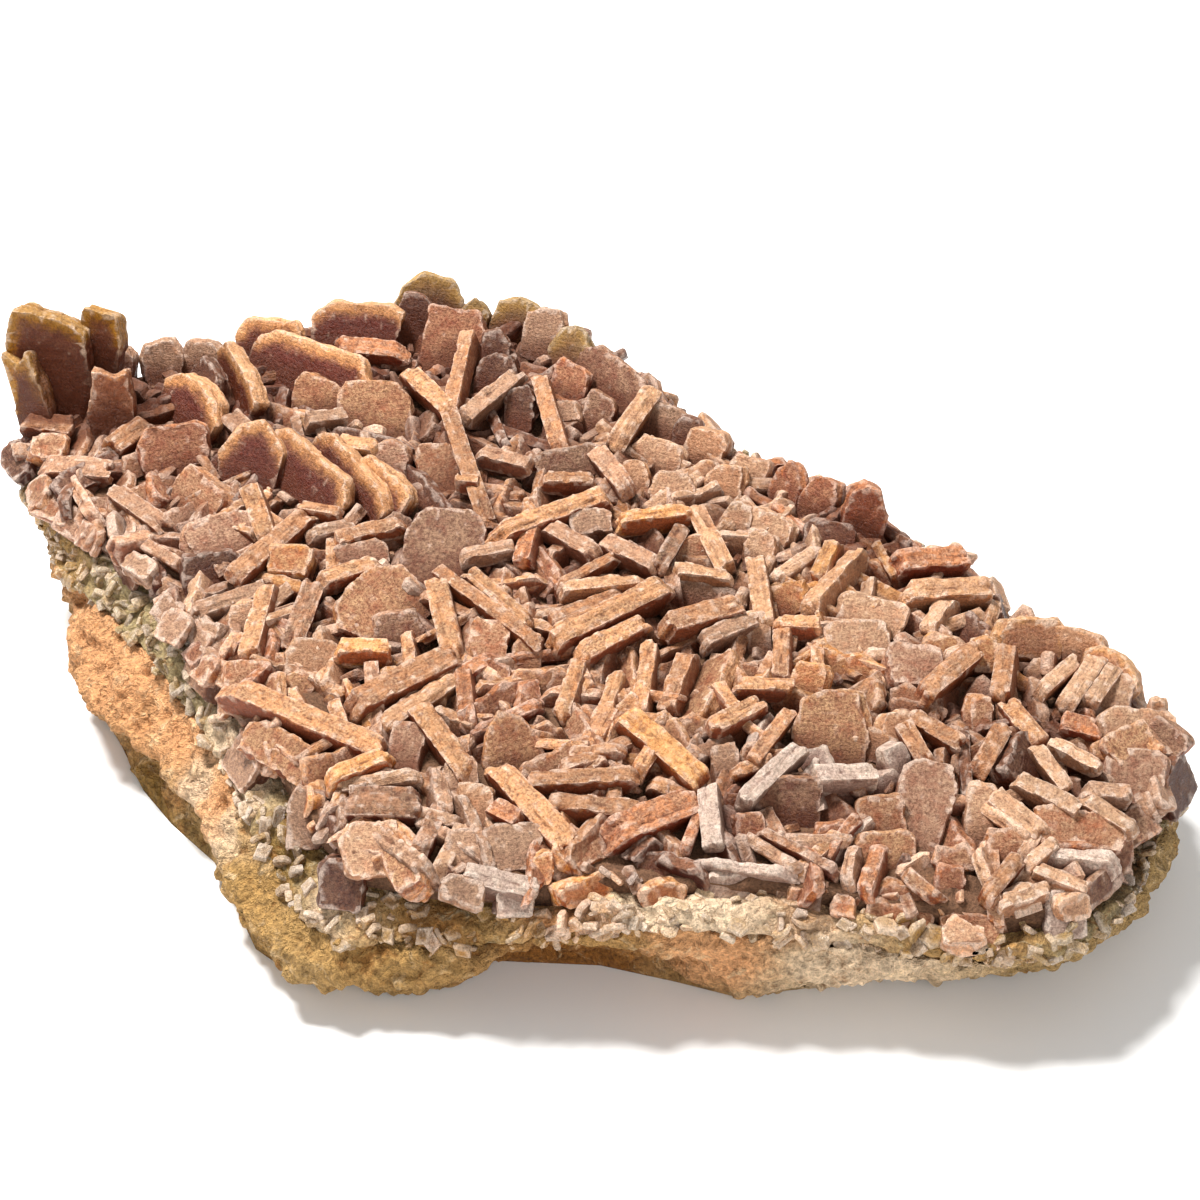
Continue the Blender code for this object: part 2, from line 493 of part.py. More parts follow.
def build_crystal(index, crystal, chance):
    """One tabular crystal as a slightly tapered prism on its outline."""
    start, along, down, outward, length = crystal_axes(crystal)
    middle = start + along * length * 0.5 + down * crystal.width * 0.5
    front = []
    back = []
    outline = crystal.outline
    if length < SHORT_BELOW_MM:
        outline = {BAR: SHORT_BAR, TABLET: SHORT_TABLET}.get(outline, outline)
    for share_along, share_down in outline:
        u = (share_along + chance.uniform(-WARP, WARP)) * length
        v = (share_down + chance.uniform(-WARP, WARP)) * crystal.width
        point = start + along * u + down * v
        front.append(point - outward * chance.uniform(0.0, SINK_MM))
        back.append(middle + (point - middle) * TAPER - outward * crystal.thick)
    count = len(front)
    faces = [tuple(range(count)), tuple(range(2 * count - 1, count - 1, -1))]
    for here in range(count):
        after = (here + 1) % count
        faces.append((here, after, count + after, count + here))
    item = mesh_object(f"crystal_{index:03d}", front + back, faces)
    builder = bmesh.new()
    builder.from_mesh(item.data)
    bmesh.ops.triangulate(builder, faces=builder.faces)
    builder.to_mesh(item.data)
    builder.free()
    return item


def as_guide(item):
    """Keep a helper solid out of the finished model."""
    item.hide_render = True
    item.display_type = "WIRE"


def shells(builder):
    """The connected shells of a bmesh, each as a list of faces."""
    unseen = set(builder.faces)
    found = []
    while unseen:
        shell = [unseen.pop()]
        for face in shell:
            for edge in face.edges:
                for neighbour in edge.link_faces:
                    if neighbour in unseen:
                        unseen.remove(neighbour)
                        shell.append(neighbour)
        found.append(shell)
    return found


def fill_pockets(item):
    """Apply the modifiers and keep the outer shell, so pockets closed in by crystals are filled."""
    evaluated = item.evaluated_get(bpy.context.evaluated_depsgraph_get())
    solid = bpy.data.meshes.new_from_object(evaluated)
    item.modifiers.clear()
    item.data = solid
    builder = bmesh.new()
    builder.from_mesh(solid)
    outer = max(shells(builder), key=len)
    keep = set(outer)
    inner = [face for face in builder.faces if face not in keep]
    bmesh.ops.delete(builder, geom=inner, context="FACES")
    loose = [vertex for vertex in builder.verts if not vertex.link_faces]
    bmesh.ops.delete(builder, geom=loose, context="VERTS")
    builder.to_mesh(solid)
    builder.free()


def build_crystals():
    """All red crystals, grown together with their bed into one solid."""
    chance = random.Random(SEED)
    members = bpy.data.collections.new("crystal_members")
    bpy.context.scene.collection.children.link(members)
    for index, crystal in enumerate(CRYSTALS):
        item = build_crystal(index, crystal, chance)
        bpy.context.scene.collection.objects.unlink(item)
        members.objects.link(item)
        as_guide(item)
    cutter = underlay()
    as_guide(cutter)
    mass = crystal_bed()
    mass.name = "red_barite_crystals"
    grown = mass.modifiers.new("grown_together", "BOOLEAN")
    grown.operation = "UNION"
    grown.solver = "EXACT"
    grown.operand_type = "COLLECTION"
    grown.collection = members
    trimmed = mass.modifiers.new("trimmed_to_crust", "BOOLEAN")
    trimmed.operation = "DIFFERENCE"
    trimmed.solver = "EXACT"
    trimmed.object = cutter
    fill_pockets(mass)
    mass.data.materials.append(stone_material("red_barite", (0.24, 0.10, 0.07), 0.45))
    return mass


def main():
    """Build the specimen from the rock upward."""
    clear_scene()
    build_rock()
    build_crust()
    build_crystals()


main()
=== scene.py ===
"""Looks of the red barite specimen.

Tabular red crystals grown through one another stand on a dark bed, over a pale sugary crust and a
plate of ochre matrix rock. Sizes are millimetres on the specimen, X to the right, Y to the back
and Z up from the flat sole, and meshes are made in metres from the object's origin.
"""
import json
import logging
import math
from dataclasses import dataclass, field
from enum import Enum
from functools import partial
from typing import Callable, NamedTuple, Sequence

import bmesh
import bpy
import numpy as np
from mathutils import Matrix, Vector

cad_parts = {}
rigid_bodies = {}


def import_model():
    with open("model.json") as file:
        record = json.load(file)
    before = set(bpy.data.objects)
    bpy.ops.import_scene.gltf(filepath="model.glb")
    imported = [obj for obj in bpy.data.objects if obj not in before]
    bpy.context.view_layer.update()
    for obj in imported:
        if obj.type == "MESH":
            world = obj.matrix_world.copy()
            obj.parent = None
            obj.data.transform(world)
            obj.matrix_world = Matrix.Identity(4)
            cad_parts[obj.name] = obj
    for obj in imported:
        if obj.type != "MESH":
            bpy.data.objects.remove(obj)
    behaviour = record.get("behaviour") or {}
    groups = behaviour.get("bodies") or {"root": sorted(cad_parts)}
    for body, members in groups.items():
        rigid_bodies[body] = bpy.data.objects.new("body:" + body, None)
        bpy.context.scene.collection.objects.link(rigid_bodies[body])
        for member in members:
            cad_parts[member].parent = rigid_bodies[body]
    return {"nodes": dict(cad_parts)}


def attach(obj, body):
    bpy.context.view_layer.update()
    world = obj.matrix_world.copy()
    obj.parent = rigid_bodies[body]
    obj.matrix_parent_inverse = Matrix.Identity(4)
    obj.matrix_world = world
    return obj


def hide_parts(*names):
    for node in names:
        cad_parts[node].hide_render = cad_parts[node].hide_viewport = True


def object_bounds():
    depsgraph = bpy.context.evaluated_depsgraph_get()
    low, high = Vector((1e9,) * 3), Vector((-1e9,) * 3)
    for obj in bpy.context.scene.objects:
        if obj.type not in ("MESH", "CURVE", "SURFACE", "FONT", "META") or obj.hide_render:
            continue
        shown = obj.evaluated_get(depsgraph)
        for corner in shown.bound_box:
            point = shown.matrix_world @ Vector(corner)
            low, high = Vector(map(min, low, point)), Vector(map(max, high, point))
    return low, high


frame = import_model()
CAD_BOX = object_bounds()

LOG = logging.getLogger("specimen")
BODY = "root"
MM = 0.001
FAR_MM = 1e9
FULL_TURN = 2.0 * math.pi

# Where the object's origin lies on the specimen, and the middle of the red crystals in plan
ORIGIN_MM = np.array((-13.5, -6.0, 0.0))
HEART_MM = np.array((-20.0, -20.0))

# Crest surface: the level that most crystal tips reach, a plane that rises to the back
CREST_LEVEL_MM = 66.0
CREST_RISE_BACK = 0.09
CREST_RISE_RIGHT = -0.01


class Outline(Enum):
    """Outline of a crystal seen square on, as shares of its crest edge and of its width."""

    BAR = ((0.0, 0.55), (0.08, 0.0), (0.93, 0.04), (1.0, 0.5), (0.90, 1.0), (0.05, 0.95))
    TABLET = ((0.0, 0.22), (0.14, 0.0), (0.84, 0.0), (1.0, 0.16), (0.95, 1.0), (0.04, 1.0))
    FAN = ((0.0, 0.42), (0.14, 0.10), (0.46, 0.0), (0.80, 0.07), (1.0, 0.36), (0.90, 1.0),
           (0.10, 1.0))
    RHOMB = ((0.0, 0.45), (0.62, 0.0), (1.0, 0.5), (0.45, 1.0))
    BLADE = ((0.0, 0.50), (0.14, 0.0), (0.55, 0.05), (0.84, 0.0), (1.0, 0.42), (0.93, 1.0),
             (0.06, 0.96))


class Shade(NamedTuple):
    """Colours of one kind of crystal, as sRGB hex.

    The core shows on its flat faces, the rim along its edges as far in as rim_mm, and dust lies
    on what faces up, over as much as its share.
    """

    core: str
    rim: str
    dust: str
    rim_mm: float
    dust_share: float


class Tint(Enum):
    """Named shades of the crystals."""

    OLIVE = Shade("602814", "B0803C", "9C7C58", 7.0, 0.45)
    OCHRE = Shade("704828", "A88450", "A88C60", 7.0, 0.35)
    HONEY = Shade("581408", "E0A878", "C09478", 7.5, 0.10)
    AMBER = Shade("905030", "D8A474", "C09874", 4.0, 0.45)
    DARK = Shade("481C10", "805038", "8C6850", 1.2, 0.55)
    PLUM = Shade("683424", "B07C5C", "A08064", 1.4, 0.65)
    RED = Shade("803820", "C48058", "B88C68", 1.2, 0.60)
    DUSTY = Shade("904C2C", "C48C64", "AC8868", 1.4, 0.70)
    GREY = Shade("906850", "B88C70", "AC886C", 1.4, 0.75)
    PEACH = Shade("904C30", "D89C70", "C09870", 1.4, 0.70)
    ORANGE = Shade("A85830", "DCA068", "BC9468", 1.5, 0.65)
    MAUVE = Shade("905840", "C49474", "B08C70", 1.5, 0.75)
    SANDY = Shade("A8704C", "D8A880", "B48C6C", 1.5, 0.70)
    PALE = Shade("B07C5C", "D8AC8C", "BC9878", 1.6, 0.75)
    CREAM = Shade("B07850", "DCB488", "C8A880", 1.5, 0.75)
    WHITE = Shade("A08070", "CCB4A0", "BCA494", 1.5, 0.75)


BAR, TABLET, FAN, RHOMB, BLADE = Outline
(OLIVE, OCHRE, HONEY, AMBER, DARK, PLUM, RED, DUSTY, GREY, PEACH, ORANGE, MAUVE, SANDY, PALE,
 CREAM, WHITE) = Tint


class Crystal(NamedTuple):
    """One tabular crystal.

    Its crest edge runs from (x1, y1) to (x2, y2), lifted h1 and h2 above the crest surface. The
    plate goes down to the right hand of that edge by its dip, 0 lying flat and 90 on edge, as far
    as its width, and is thick mm through.
    """

    x1: float
    y1: float
    h1: float
    x2: float
    y2: float
    h2: float
    dip: float
    width: float
    thick: float
    outline: Outline
    tint: Tint


def crystals(*rows: tuple) -> tuple[Crystal, ...]:
    """Crystals from rows of their values, in the order of the fields."""
    return tuple(Crystal(*row) for row in rows)


# Tall cluster at the far left corner
FAR_LEFT = crystals(
    (-207, 70, 33, -178, 67, 35, 84, 54, 9, TABLET, OLIVE),
    (-181, 74, 34, -165, 71, 31, 84, 46, 8, TABLET, OLIVE),
    (-210, 67, 20, -197, 63, 24, 80, 40, 7, BLADE, OLIVE),
    (-177, 60, 19, -162, 62, 18, 76, 26, 6, BLADE, DUSTY),
    (-202, 61, 3, -183, 58, 3, 35, 12, 6, BAR, DUSTY),
    (-178, 62, 7, -171, 59, 6, 65, 18, 5, RHOMB, GREY),
    (-198, 50, 2, -186, 49, 2, 30, 10, 9, TABLET, DUSTY),
    (-193, 41, 0, -167, 37, 1, 40, 12, 7, BAR, MAUVE),
    (-172, 44, 4, -160, 60, 4, 60, 12, 6, BAR, DUSTY),
    (-191, 33, -4, -179, 29, -4, 45, 12, 8, TABLET, DARK),
    (-164, 24, 2, -144, 5, 2, 40, 10, 6, BAR, MAUVE),
    (-178, 24, -2, -166, 12, -3, 50, 11, 7, TABLET, DUSTY),
)

# Upper left, with the honey-rimmed plates
UPPER_LEFT = crystals(
    (-159, 42, 8, -137, 49, 8, 55, 28, 7, TABLET, RED),
    (-151, 80, 11, -131, 56, 8, 60, 24, 8, FAN, HONEY),
    (-144, 88, 12, -133, 70, 9, 66, 20, 6, FAN, DARK),
    (-136, 93, 12, -121, 64, 9, 76, 24, 6, TABLET, HONEY),
    (-124, 105, 12, -80, 77, 8, 60, 36, 7, TABLET, HONEY),
    (-129, 65, 4, -118, 50, 4, 40, 12, 9, BAR, GREY),
    (-167, 97, 8, -152, 96, 9, 70, 20, 7, FAN, GREY),
    (-152, 99, 8, -137, 95, 8, 66, 20, 7, TABLET, GREY),
    (-183, 91, 9, -168, 91, 8, 74, 20, 7, TABLET, GREY),
    (-106, 119, 10, -74, 117, 10, 58, 20, 7, TABLET, HONEY),
    (-132, 111, 8, -108, 110, 7, 62, 20, 7, TABLET, HONEY),
    (-98, 108, 4, -70, 104, 4, 50, 12, 6, BAR, RED),
    (-78, 133, 12, -50, 133, 12, 70, 26, 8, FAN, OCHRE),
    (-75, 123, 12, -60, 121, 11, 72, 22, 6, FAN, DARK),
    (-52, 126, 7, -41, 125, 7, 60, 14, 6, FAN, OCHRE),
    (-42, 126, 9, -18, 123, 9, 66, 24, 8, FAN, OCHRE),
    (-64, 114, 10, -40, 110, 10, 52, 38, 10, TABLET, RED),
    (-46, 108, 9, -51, 63, 4, 40, 8, 7, BAR, DUSTY),
    (-44, 106, 8, -33, 105, 8, 60, 14, 6, FAN, DARK),
    (-44, 94, 6, -27, 92, 6, 60, 24, 7, FAN, DARK),
    (-50, 57, 7, -31, 83, 8, 42, 9, 8, BAR, GREY),
    (-51, 61, 8, -36, 6, 5, 34, 9, 8, BAR, DUSTY),
    (-68, 88, 7, -49, 61, 6, 42, 10, 8, BAR, PEACH),
    (-92, 75, 6, -68, 75, 7, 50, 36, 8, TABLET, PEACH),
    (-108, 82, 6, -90, 77, 5, 56, 22, 7, TABLET, PEACH),
    (-105, 60, 4, -89, 64, 4, 42, 8, 6, BAR, GREY),
    (-93, 48, 5, -76, 44, 5, 36, 9, 8, BAR, HONEY),
    (-78, 44, 5, -64, 42, 5, 52, 16, 6, FAN, MAUVE),
    (-128, 49, 10, -104, 41, 9, 50, 28, 8, FAN, HONEY),
    (-111, 50, 8, -85, 14, 5, 55, 30, 7, TABLET, HONEY),
    (-97, 50, 7, -71, 12, 4, 60, 20, 6, TABLET, HONEY),
    (-81, 33, 6, -63, 13, 4, 56, 16, 6, TABLET, HONEY),
    (-65, 43, 3, -51, 46, 3, 28, 34, 6, TABLET, DUSTY),
    (-49, 23, 7, -39, 22, 7, 22, 7, 6, BAR, PEACH),
    (-34, 73, 6, -23, 72, 6, 52, 24, 7, TABLET, DARK),
    (-20, 84, 7, -12, 45, 4, 48, 9, 7, BAR, DUSTY),
    (-42, 41, 6, -22, 34, 6, 32, 9, 7, BAR, MAUVE),
)

# Back edge, right of the middle
UPPER_RIGHT = crystals(
    (-27, 115, 12, -11, 111, 12, 60, 20, 7, FAN, GREY),
    (-16, 108, 9, -1, 101, 9, 58, 20, 7, FAN, OCHRE),
    (-17, 92, 6, -4, 86, 6, 55, 20, 6, TABLET, RED),
    (-5, 102, 7, 18, 77, 6, 54, 26, 8, TABLET, PLUM),
    (-17, 77, 3, -5, 68, 3, 42, 12, 8, RHOMB, GREY),
    (-5, 74, 4, 6, 70, 4, 55, 20, 7, TABLET, PLUM),
    (3, 45, 7, 17, 76, 8, 44, 11, 9, BAR, SANDY),
    (14, 70, 4, 31, 63, 4, 55, 22, 7, TABLET, GREY),
    (26, 62, 4, 37, 56, 4, 60, 14, 6, FAN, DARK),
    (30, 54, 5, 44, 47, 5, 60, 20, 9, TABLET, SANDY),
    (13, 49, 4, 30, 43, 4, 56, 22, 6, TABLET, PALE),
    (18, 28, 3, 34, 28, 3, 50, 20, 6, TABLET, PALE),
    (6, 37, 3, 18, 35, 3, 46, 16, 6, FAN, SANDY),
    (38, 33, 3, 51, 29, 3, 56, 24, 6, TABLET, SANDY),
    (45, 42, 3, 59, 33, 3, 56, 24, 7, TABLET, PALE),
    (60, 31, 6, 70, 24, 8, 64, 20, 7, FAN, RED),
    (-24, 37, 5, 0, 43, 5, 50, 12, 6, TABLET, PLUM),
    (0, 43, 6, 12, 22, 4, 40, 10, 8, BAR, MAUVE),
    (-22, 28, 4, -1, 28, 4, 26, 8, 6, BAR, DUSTY),
    (72, 24, 8, 83, 17, 6, 62, 20, 7, FAN, RED),
    (69, 8, 2, 86, 2, 3, 50, 18, 7, TABLET, DARK),
    (50, 11, 2, 66, 5, 2, 46, 16, 6, TABLET, PALE),
)

# Left of the middle, down to the broken edge
LEFT = crystals(
    (-142, 31, 4, -124, 12, 4, 50, 22, 7, TABLET, DUSTY),
    (-117, 22, 6, -108, -3, 2, 54, 10, 8, BAR, PEACH),
    (-140, -4, 3, -118, 10, 3, 36, 16, 6, TABLET, MAUVE),
    (-122, -25, 3, -99, 8, 5, 36, 10, 7, BAR, DUSTY),
    (-139, -19, 2, -118, -13, 2, 60, 18, 7, TABLET, DARK),
    (-133, -37, 0, -108, -26, 2, 42, 9, 7, BAR, GREY),
    (-120, -38, 0, -109, -36, 0, 50, 20, 6, TABLET, PALE),
    (-105, -27, 3, -108, -62, 1, 34, 9, 8, BAR, PEACH),
    (-109, -12, 4, -93, -13, 4, 32, 10, 8, TABLET, ORANGE),
    (-100, -56, 3, -95, -25, 4, 30, 11, 8, BAR, PLUM),
    (-119, -53, -1, -107, -52, -1, 46, 14, 7, TABLET, RED),
    (-118, -65, 0, -103, -61, 0, 36, 12, 8, TABLET, DUSTY),
    (-114, -72, 3, -62, -100, 2, 34, 12, 10, BAR, PEACH),
    (-105, -86, -2, -80, -103, -3, 32, 12, 9, TABLET, PEACH),
    (-128, -48, -6, -117, -60, -6, 60, 14, 7, TABLET, GREY),
    (-112, -84, -8, -103, -98, -8, 60, 14, 7, TABLET, GREY),
)

# Middle of the specimen
MIDDLE = crystals(
    (-101, 12, 4, -84, 8, 4, 30, 7, 6, BAR, DUSTY),
    (-98, -2, 3, -82, 5, 3, 30, 7, 6, BAR, GREY),
    (-89, -5, 4, -64, 6, 4, 36, 8, 6, BAR, DUSTY),
    (-91, -10, 2, -70, -5, 1, 40, 16, 6, TABLET, MAUVE),
    (-93, -26, 4, -72, -15, 4, 36, 9, 7, BAR, PEACH),
    (-63, 6, 5, -38, -1, 5, 32, 34, 6, TABLET, PLUM),
    (-89, -42, 4, -70, -17, 5, 28, 24, 6, FAN, PEACH),
    (-73, -43, 2, -56, -40, 2, 50, 20, 7, FAN, PLUM),
    (-83, -57, 4, -64, -58, 4, 22, 8, 7, BAR, ORANGE),
    (-99, -56, 2, -82, -56, 2, 36, 16, 6, TABLET, SANDY),
    (-79, -82, 4, -46, -58, 5, 36, 13, 10, BAR, DUSTY),
    (-70, -91, 0, -46, -67, 1, 34, 9, 8, BAR, SANDY),
    (-54, -20, 6, -19, -55, 5, 40, 7, 7, BAR, DUSTY),
    (-42, -20, 4, -20, -46, 3, 40, 8, 7, BAR, PEACH),
    (-50, -28, 6, -43, -60, 3, 34, 11, 9, BAR, PEACH),
    (-42, -46, 3, -28, -48, 3, 30, 14, 6, TABLET, DUSTY),
    (-48, -14, 4, -27, -8, 5, 30, 7, 6, BAR, GREY),
    (-38, -5, 6, 1, 18, 6, 36, 10, 9, BAR, PEACH),
    (-20, 4, 5, -24, -17, 4, 40, 8, 7, BAR, RED),
    (-38, -62, 1, -27, -63, 1, 42, 11, 7, FAN, RED),
    (-27, -53, 2, -17, -54, 2, 46, 20, 6, TABLET, PEACH),
    (-12, 5, 4, 3, 8, 4, 30, 9, 6, TABLET, GREY),
    (6, 4, 6, 31, 10, 6, 26, 8, 8, BAR, ORANGE),
    (-17, 3, 5, 0, -12, 5, 36, 9, 7, BAR, MAUVE),
    (0, -4, 5, 19, -17, 5, 40, 9, 8, BAR, MAUVE),
    (17, -21, 5, 26, 2, 5, 44, 8, 7, BAR, PLUM),
    (-15, -29, 4, 5, -12, 4, 32, 6, 6, BAR, DUSTY),
    (-14, -31, 5, 14, -26, 5, 26, 7, 7, BAR, SANDY),
    (-19, -45, 4, 8, -30, 4, 36, 8, 7, BAR, DUSTY),
    (-18, -55, 6, 20, -27, 7, 40, 12, 10, BAR, PEACH),
    (-9, -61, 4, 14, -43, 4, 40, 9, 8, BAR, PEACH),
    (18, -46, 5, 45, -35, 6, 36, 12, 9, BAR, DUSTY),
    (30, -52, 3, 49, -40, 3, 36, 9, 7, BAR, GREY),
    (53, -14, 4, 55, -46, 2, 40, 9, 8, BAR, SANDY),
    (45, -43, 2, 54, -42, 2, 50, 18, 7, TABLET, PALE),
    (33, 15, 5, 44, -20, 4, 44, 10, 9, BAR, SANDY),
    (22, -6, 3, 36, -4, 3, 46, 14, 8, TABLET, DUSTY),
    (23, -19, 4, 43, -22, 4, 30, 7, 7, BAR, SANDY),
    (42, 14, 3, 53, 10, 3, 50, 14, 7, FAN, PALE),
    (49, 0, 3, 61, -4, 3, 50, 14, 7, FAN, PALE),
    (57, -22, 4, 70, -30, 4, 50, 16, 7, RHOMB, ORANGE),
    (18, -52, 2, 14, -84, 0, 40, 8, 7, BAR, PEACH),
    (42, -58, 2, 30, -87, -1, 36, 12, 7, TABLET, PEACH),
    (30, -58, 2, 22, -84, -1, 40, 9, 7, BAR, DUSTY),
    (41, -72, 3, 60, -72, 3, 26, 8, 7, BAR, PEACH),
    (60, -47, 3, 58, -70, 2, 40, 8, 7, BAR, DUSTY),
    (56, -43, 3, 71, -44, 3, 26, 8, 7, BAR, PEACH),
    (61, -64, 3, 72, -68, 3, 50, 13, 7, TABLET, ORANGE),
    (-4, -62, 2, -10, -87, 0, 40, 8, 7, BAR, PEACH),
    (8, -68, 1, 1, -91, -1, 40, 8, 7, BAR, PEACH),
    (-41, -64, 2, -38, -89, 0, 40, 8, 7, BAR, RED),
)

# Dusty right part
RIGHT = crystals(
    (81, 7, 14, 96, 3, 14, 80, 22, 8, FAN, RED),
    (79, -8, 6, 72, -25, 4, 40, 8, 8, BAR, ORANGE),
    (87, -12, 5, 68, -38, 3, 44, 9, 8, BAR, SANDY),
    (95, -14, 5, 121, -10, 5, 44, 12, 9, BAR, RED),
    (97, -28, 5, 127, -25, 5, 38, 12, 9, BAR, SANDY),
    (115, -32, 3, 105, -48, 2, 40, 9, 7, BAR, PALE),
    (78, -30, 2, 98, -37, 2, 36, 12, 7, TABLET, PALE),
    (72, -45, 2, 93, -43, 2, 32, 12, 7, TABLET, PALE),
    (88, -57, 3, 107, -56, 3, 22, 14, 7, TABLET, MAUVE),
    (96, -78, 5, 116, -56, 5, 40, 11, 10, BAR, DUSTY),
    (116, -56, 5, 125, -57, 5, 46, 11, 9, FAN, ORANGE),
    (130, -57, 5, 125, -81, 4, 36, 9, 9, BAR, DUSTY),
    (126, -79, 4, 136, -100, 4, 36, 9, 9, BAR, PEACH),
    (125, -47, 6, 149, -46, 5, 52, 14, 9, FAN, AMBER),
    (139, -45, 3, 160, -56, 3, 60, 16, 9, TABLET, SANDY),
    (134, -76, 4, 148, -61, 4, 40, 7, 7, BAR, PALE),
    (141, -81, 5, 154, -60, 5, 40, 9, 8, BAR, PALE),
    (148, -81, 4, 159, -64, 4, 36, 8, 7, BAR, PALE),
    (151, -68, 2, 166, -70, 2, 26, 14, 6, TABLET, PALE),
    (155, -56, 6, 168, -73, 3, 56, 12, 8, FAN, AMBER),
    (141, -87, 4, 153, -92, 4, 50, 9, 7, BAR, RED),
    (152, -83, 2, 176, -85, 1, 24, 14, 8, TABLET, PALE),
    (167, -83, 4, 174, -84, 4, 78, 12, 6, FAN, PALE),
    (149, -101, 4, 163, -92, 5, 32, 10, 8, TABLET, PEACH),
    (163, -92, 3, 171, -101, 2, 42, 8, 7, BAR, PEACH),
    (169, -87, 3, 179, -97, 1, 50, 10, 8, TABLET, PLUM),
    (152, -101, 2, 171, -102, 1, 30, 18, 7, TABLET, MAUVE),
    (119, -114, 4, 127, -95, 5, 50, 14, 7, TABLET, DARK),
    (131, -98, 4, 140, -118, 3, 40, 7, 7, BAR, PALE),
    (135, -98, 5, 151, -109, 4, 36, 7, 6, BAR, PALE),
    (142, -116, 3, 157, -117, 3, 32, 8, 7, BAR, GREY),
    (124, -112, 4, 142, -125, 3, 36, 8, 7, BAR, PALE),
    (142, -118, 3, 158, -131, 1, 36, 8, 7, BAR, PALE),
    (117, -118, 3, 132, -134, 1, 36, 9, 8, BAR, PALE),
    (128, -124, 2, 156, -127, 0, 28, 12, 8, TABLET, DUSTY),
    (147, -132, -3, 157, -130, -4, 60, 14, 8, TABLET, PLUM),
    (131, -136, -2, 147, -137, -3, 60, 14, 8, TABLET, RED),
    (125, -144, 0, 141, -151, -2, 32, 7, 6, BAR, PALE),
    (112, -156, -2, 128, -150, -2, 32, 7, 7, BAR, PALE),
    (127, -153, -4, 139, -151, -5, 50, 14, 9, TABLET, WHITE),
    (168, -112, -4, 178, -94, -4, 66, 14, 7, TABLET, DARK),
)

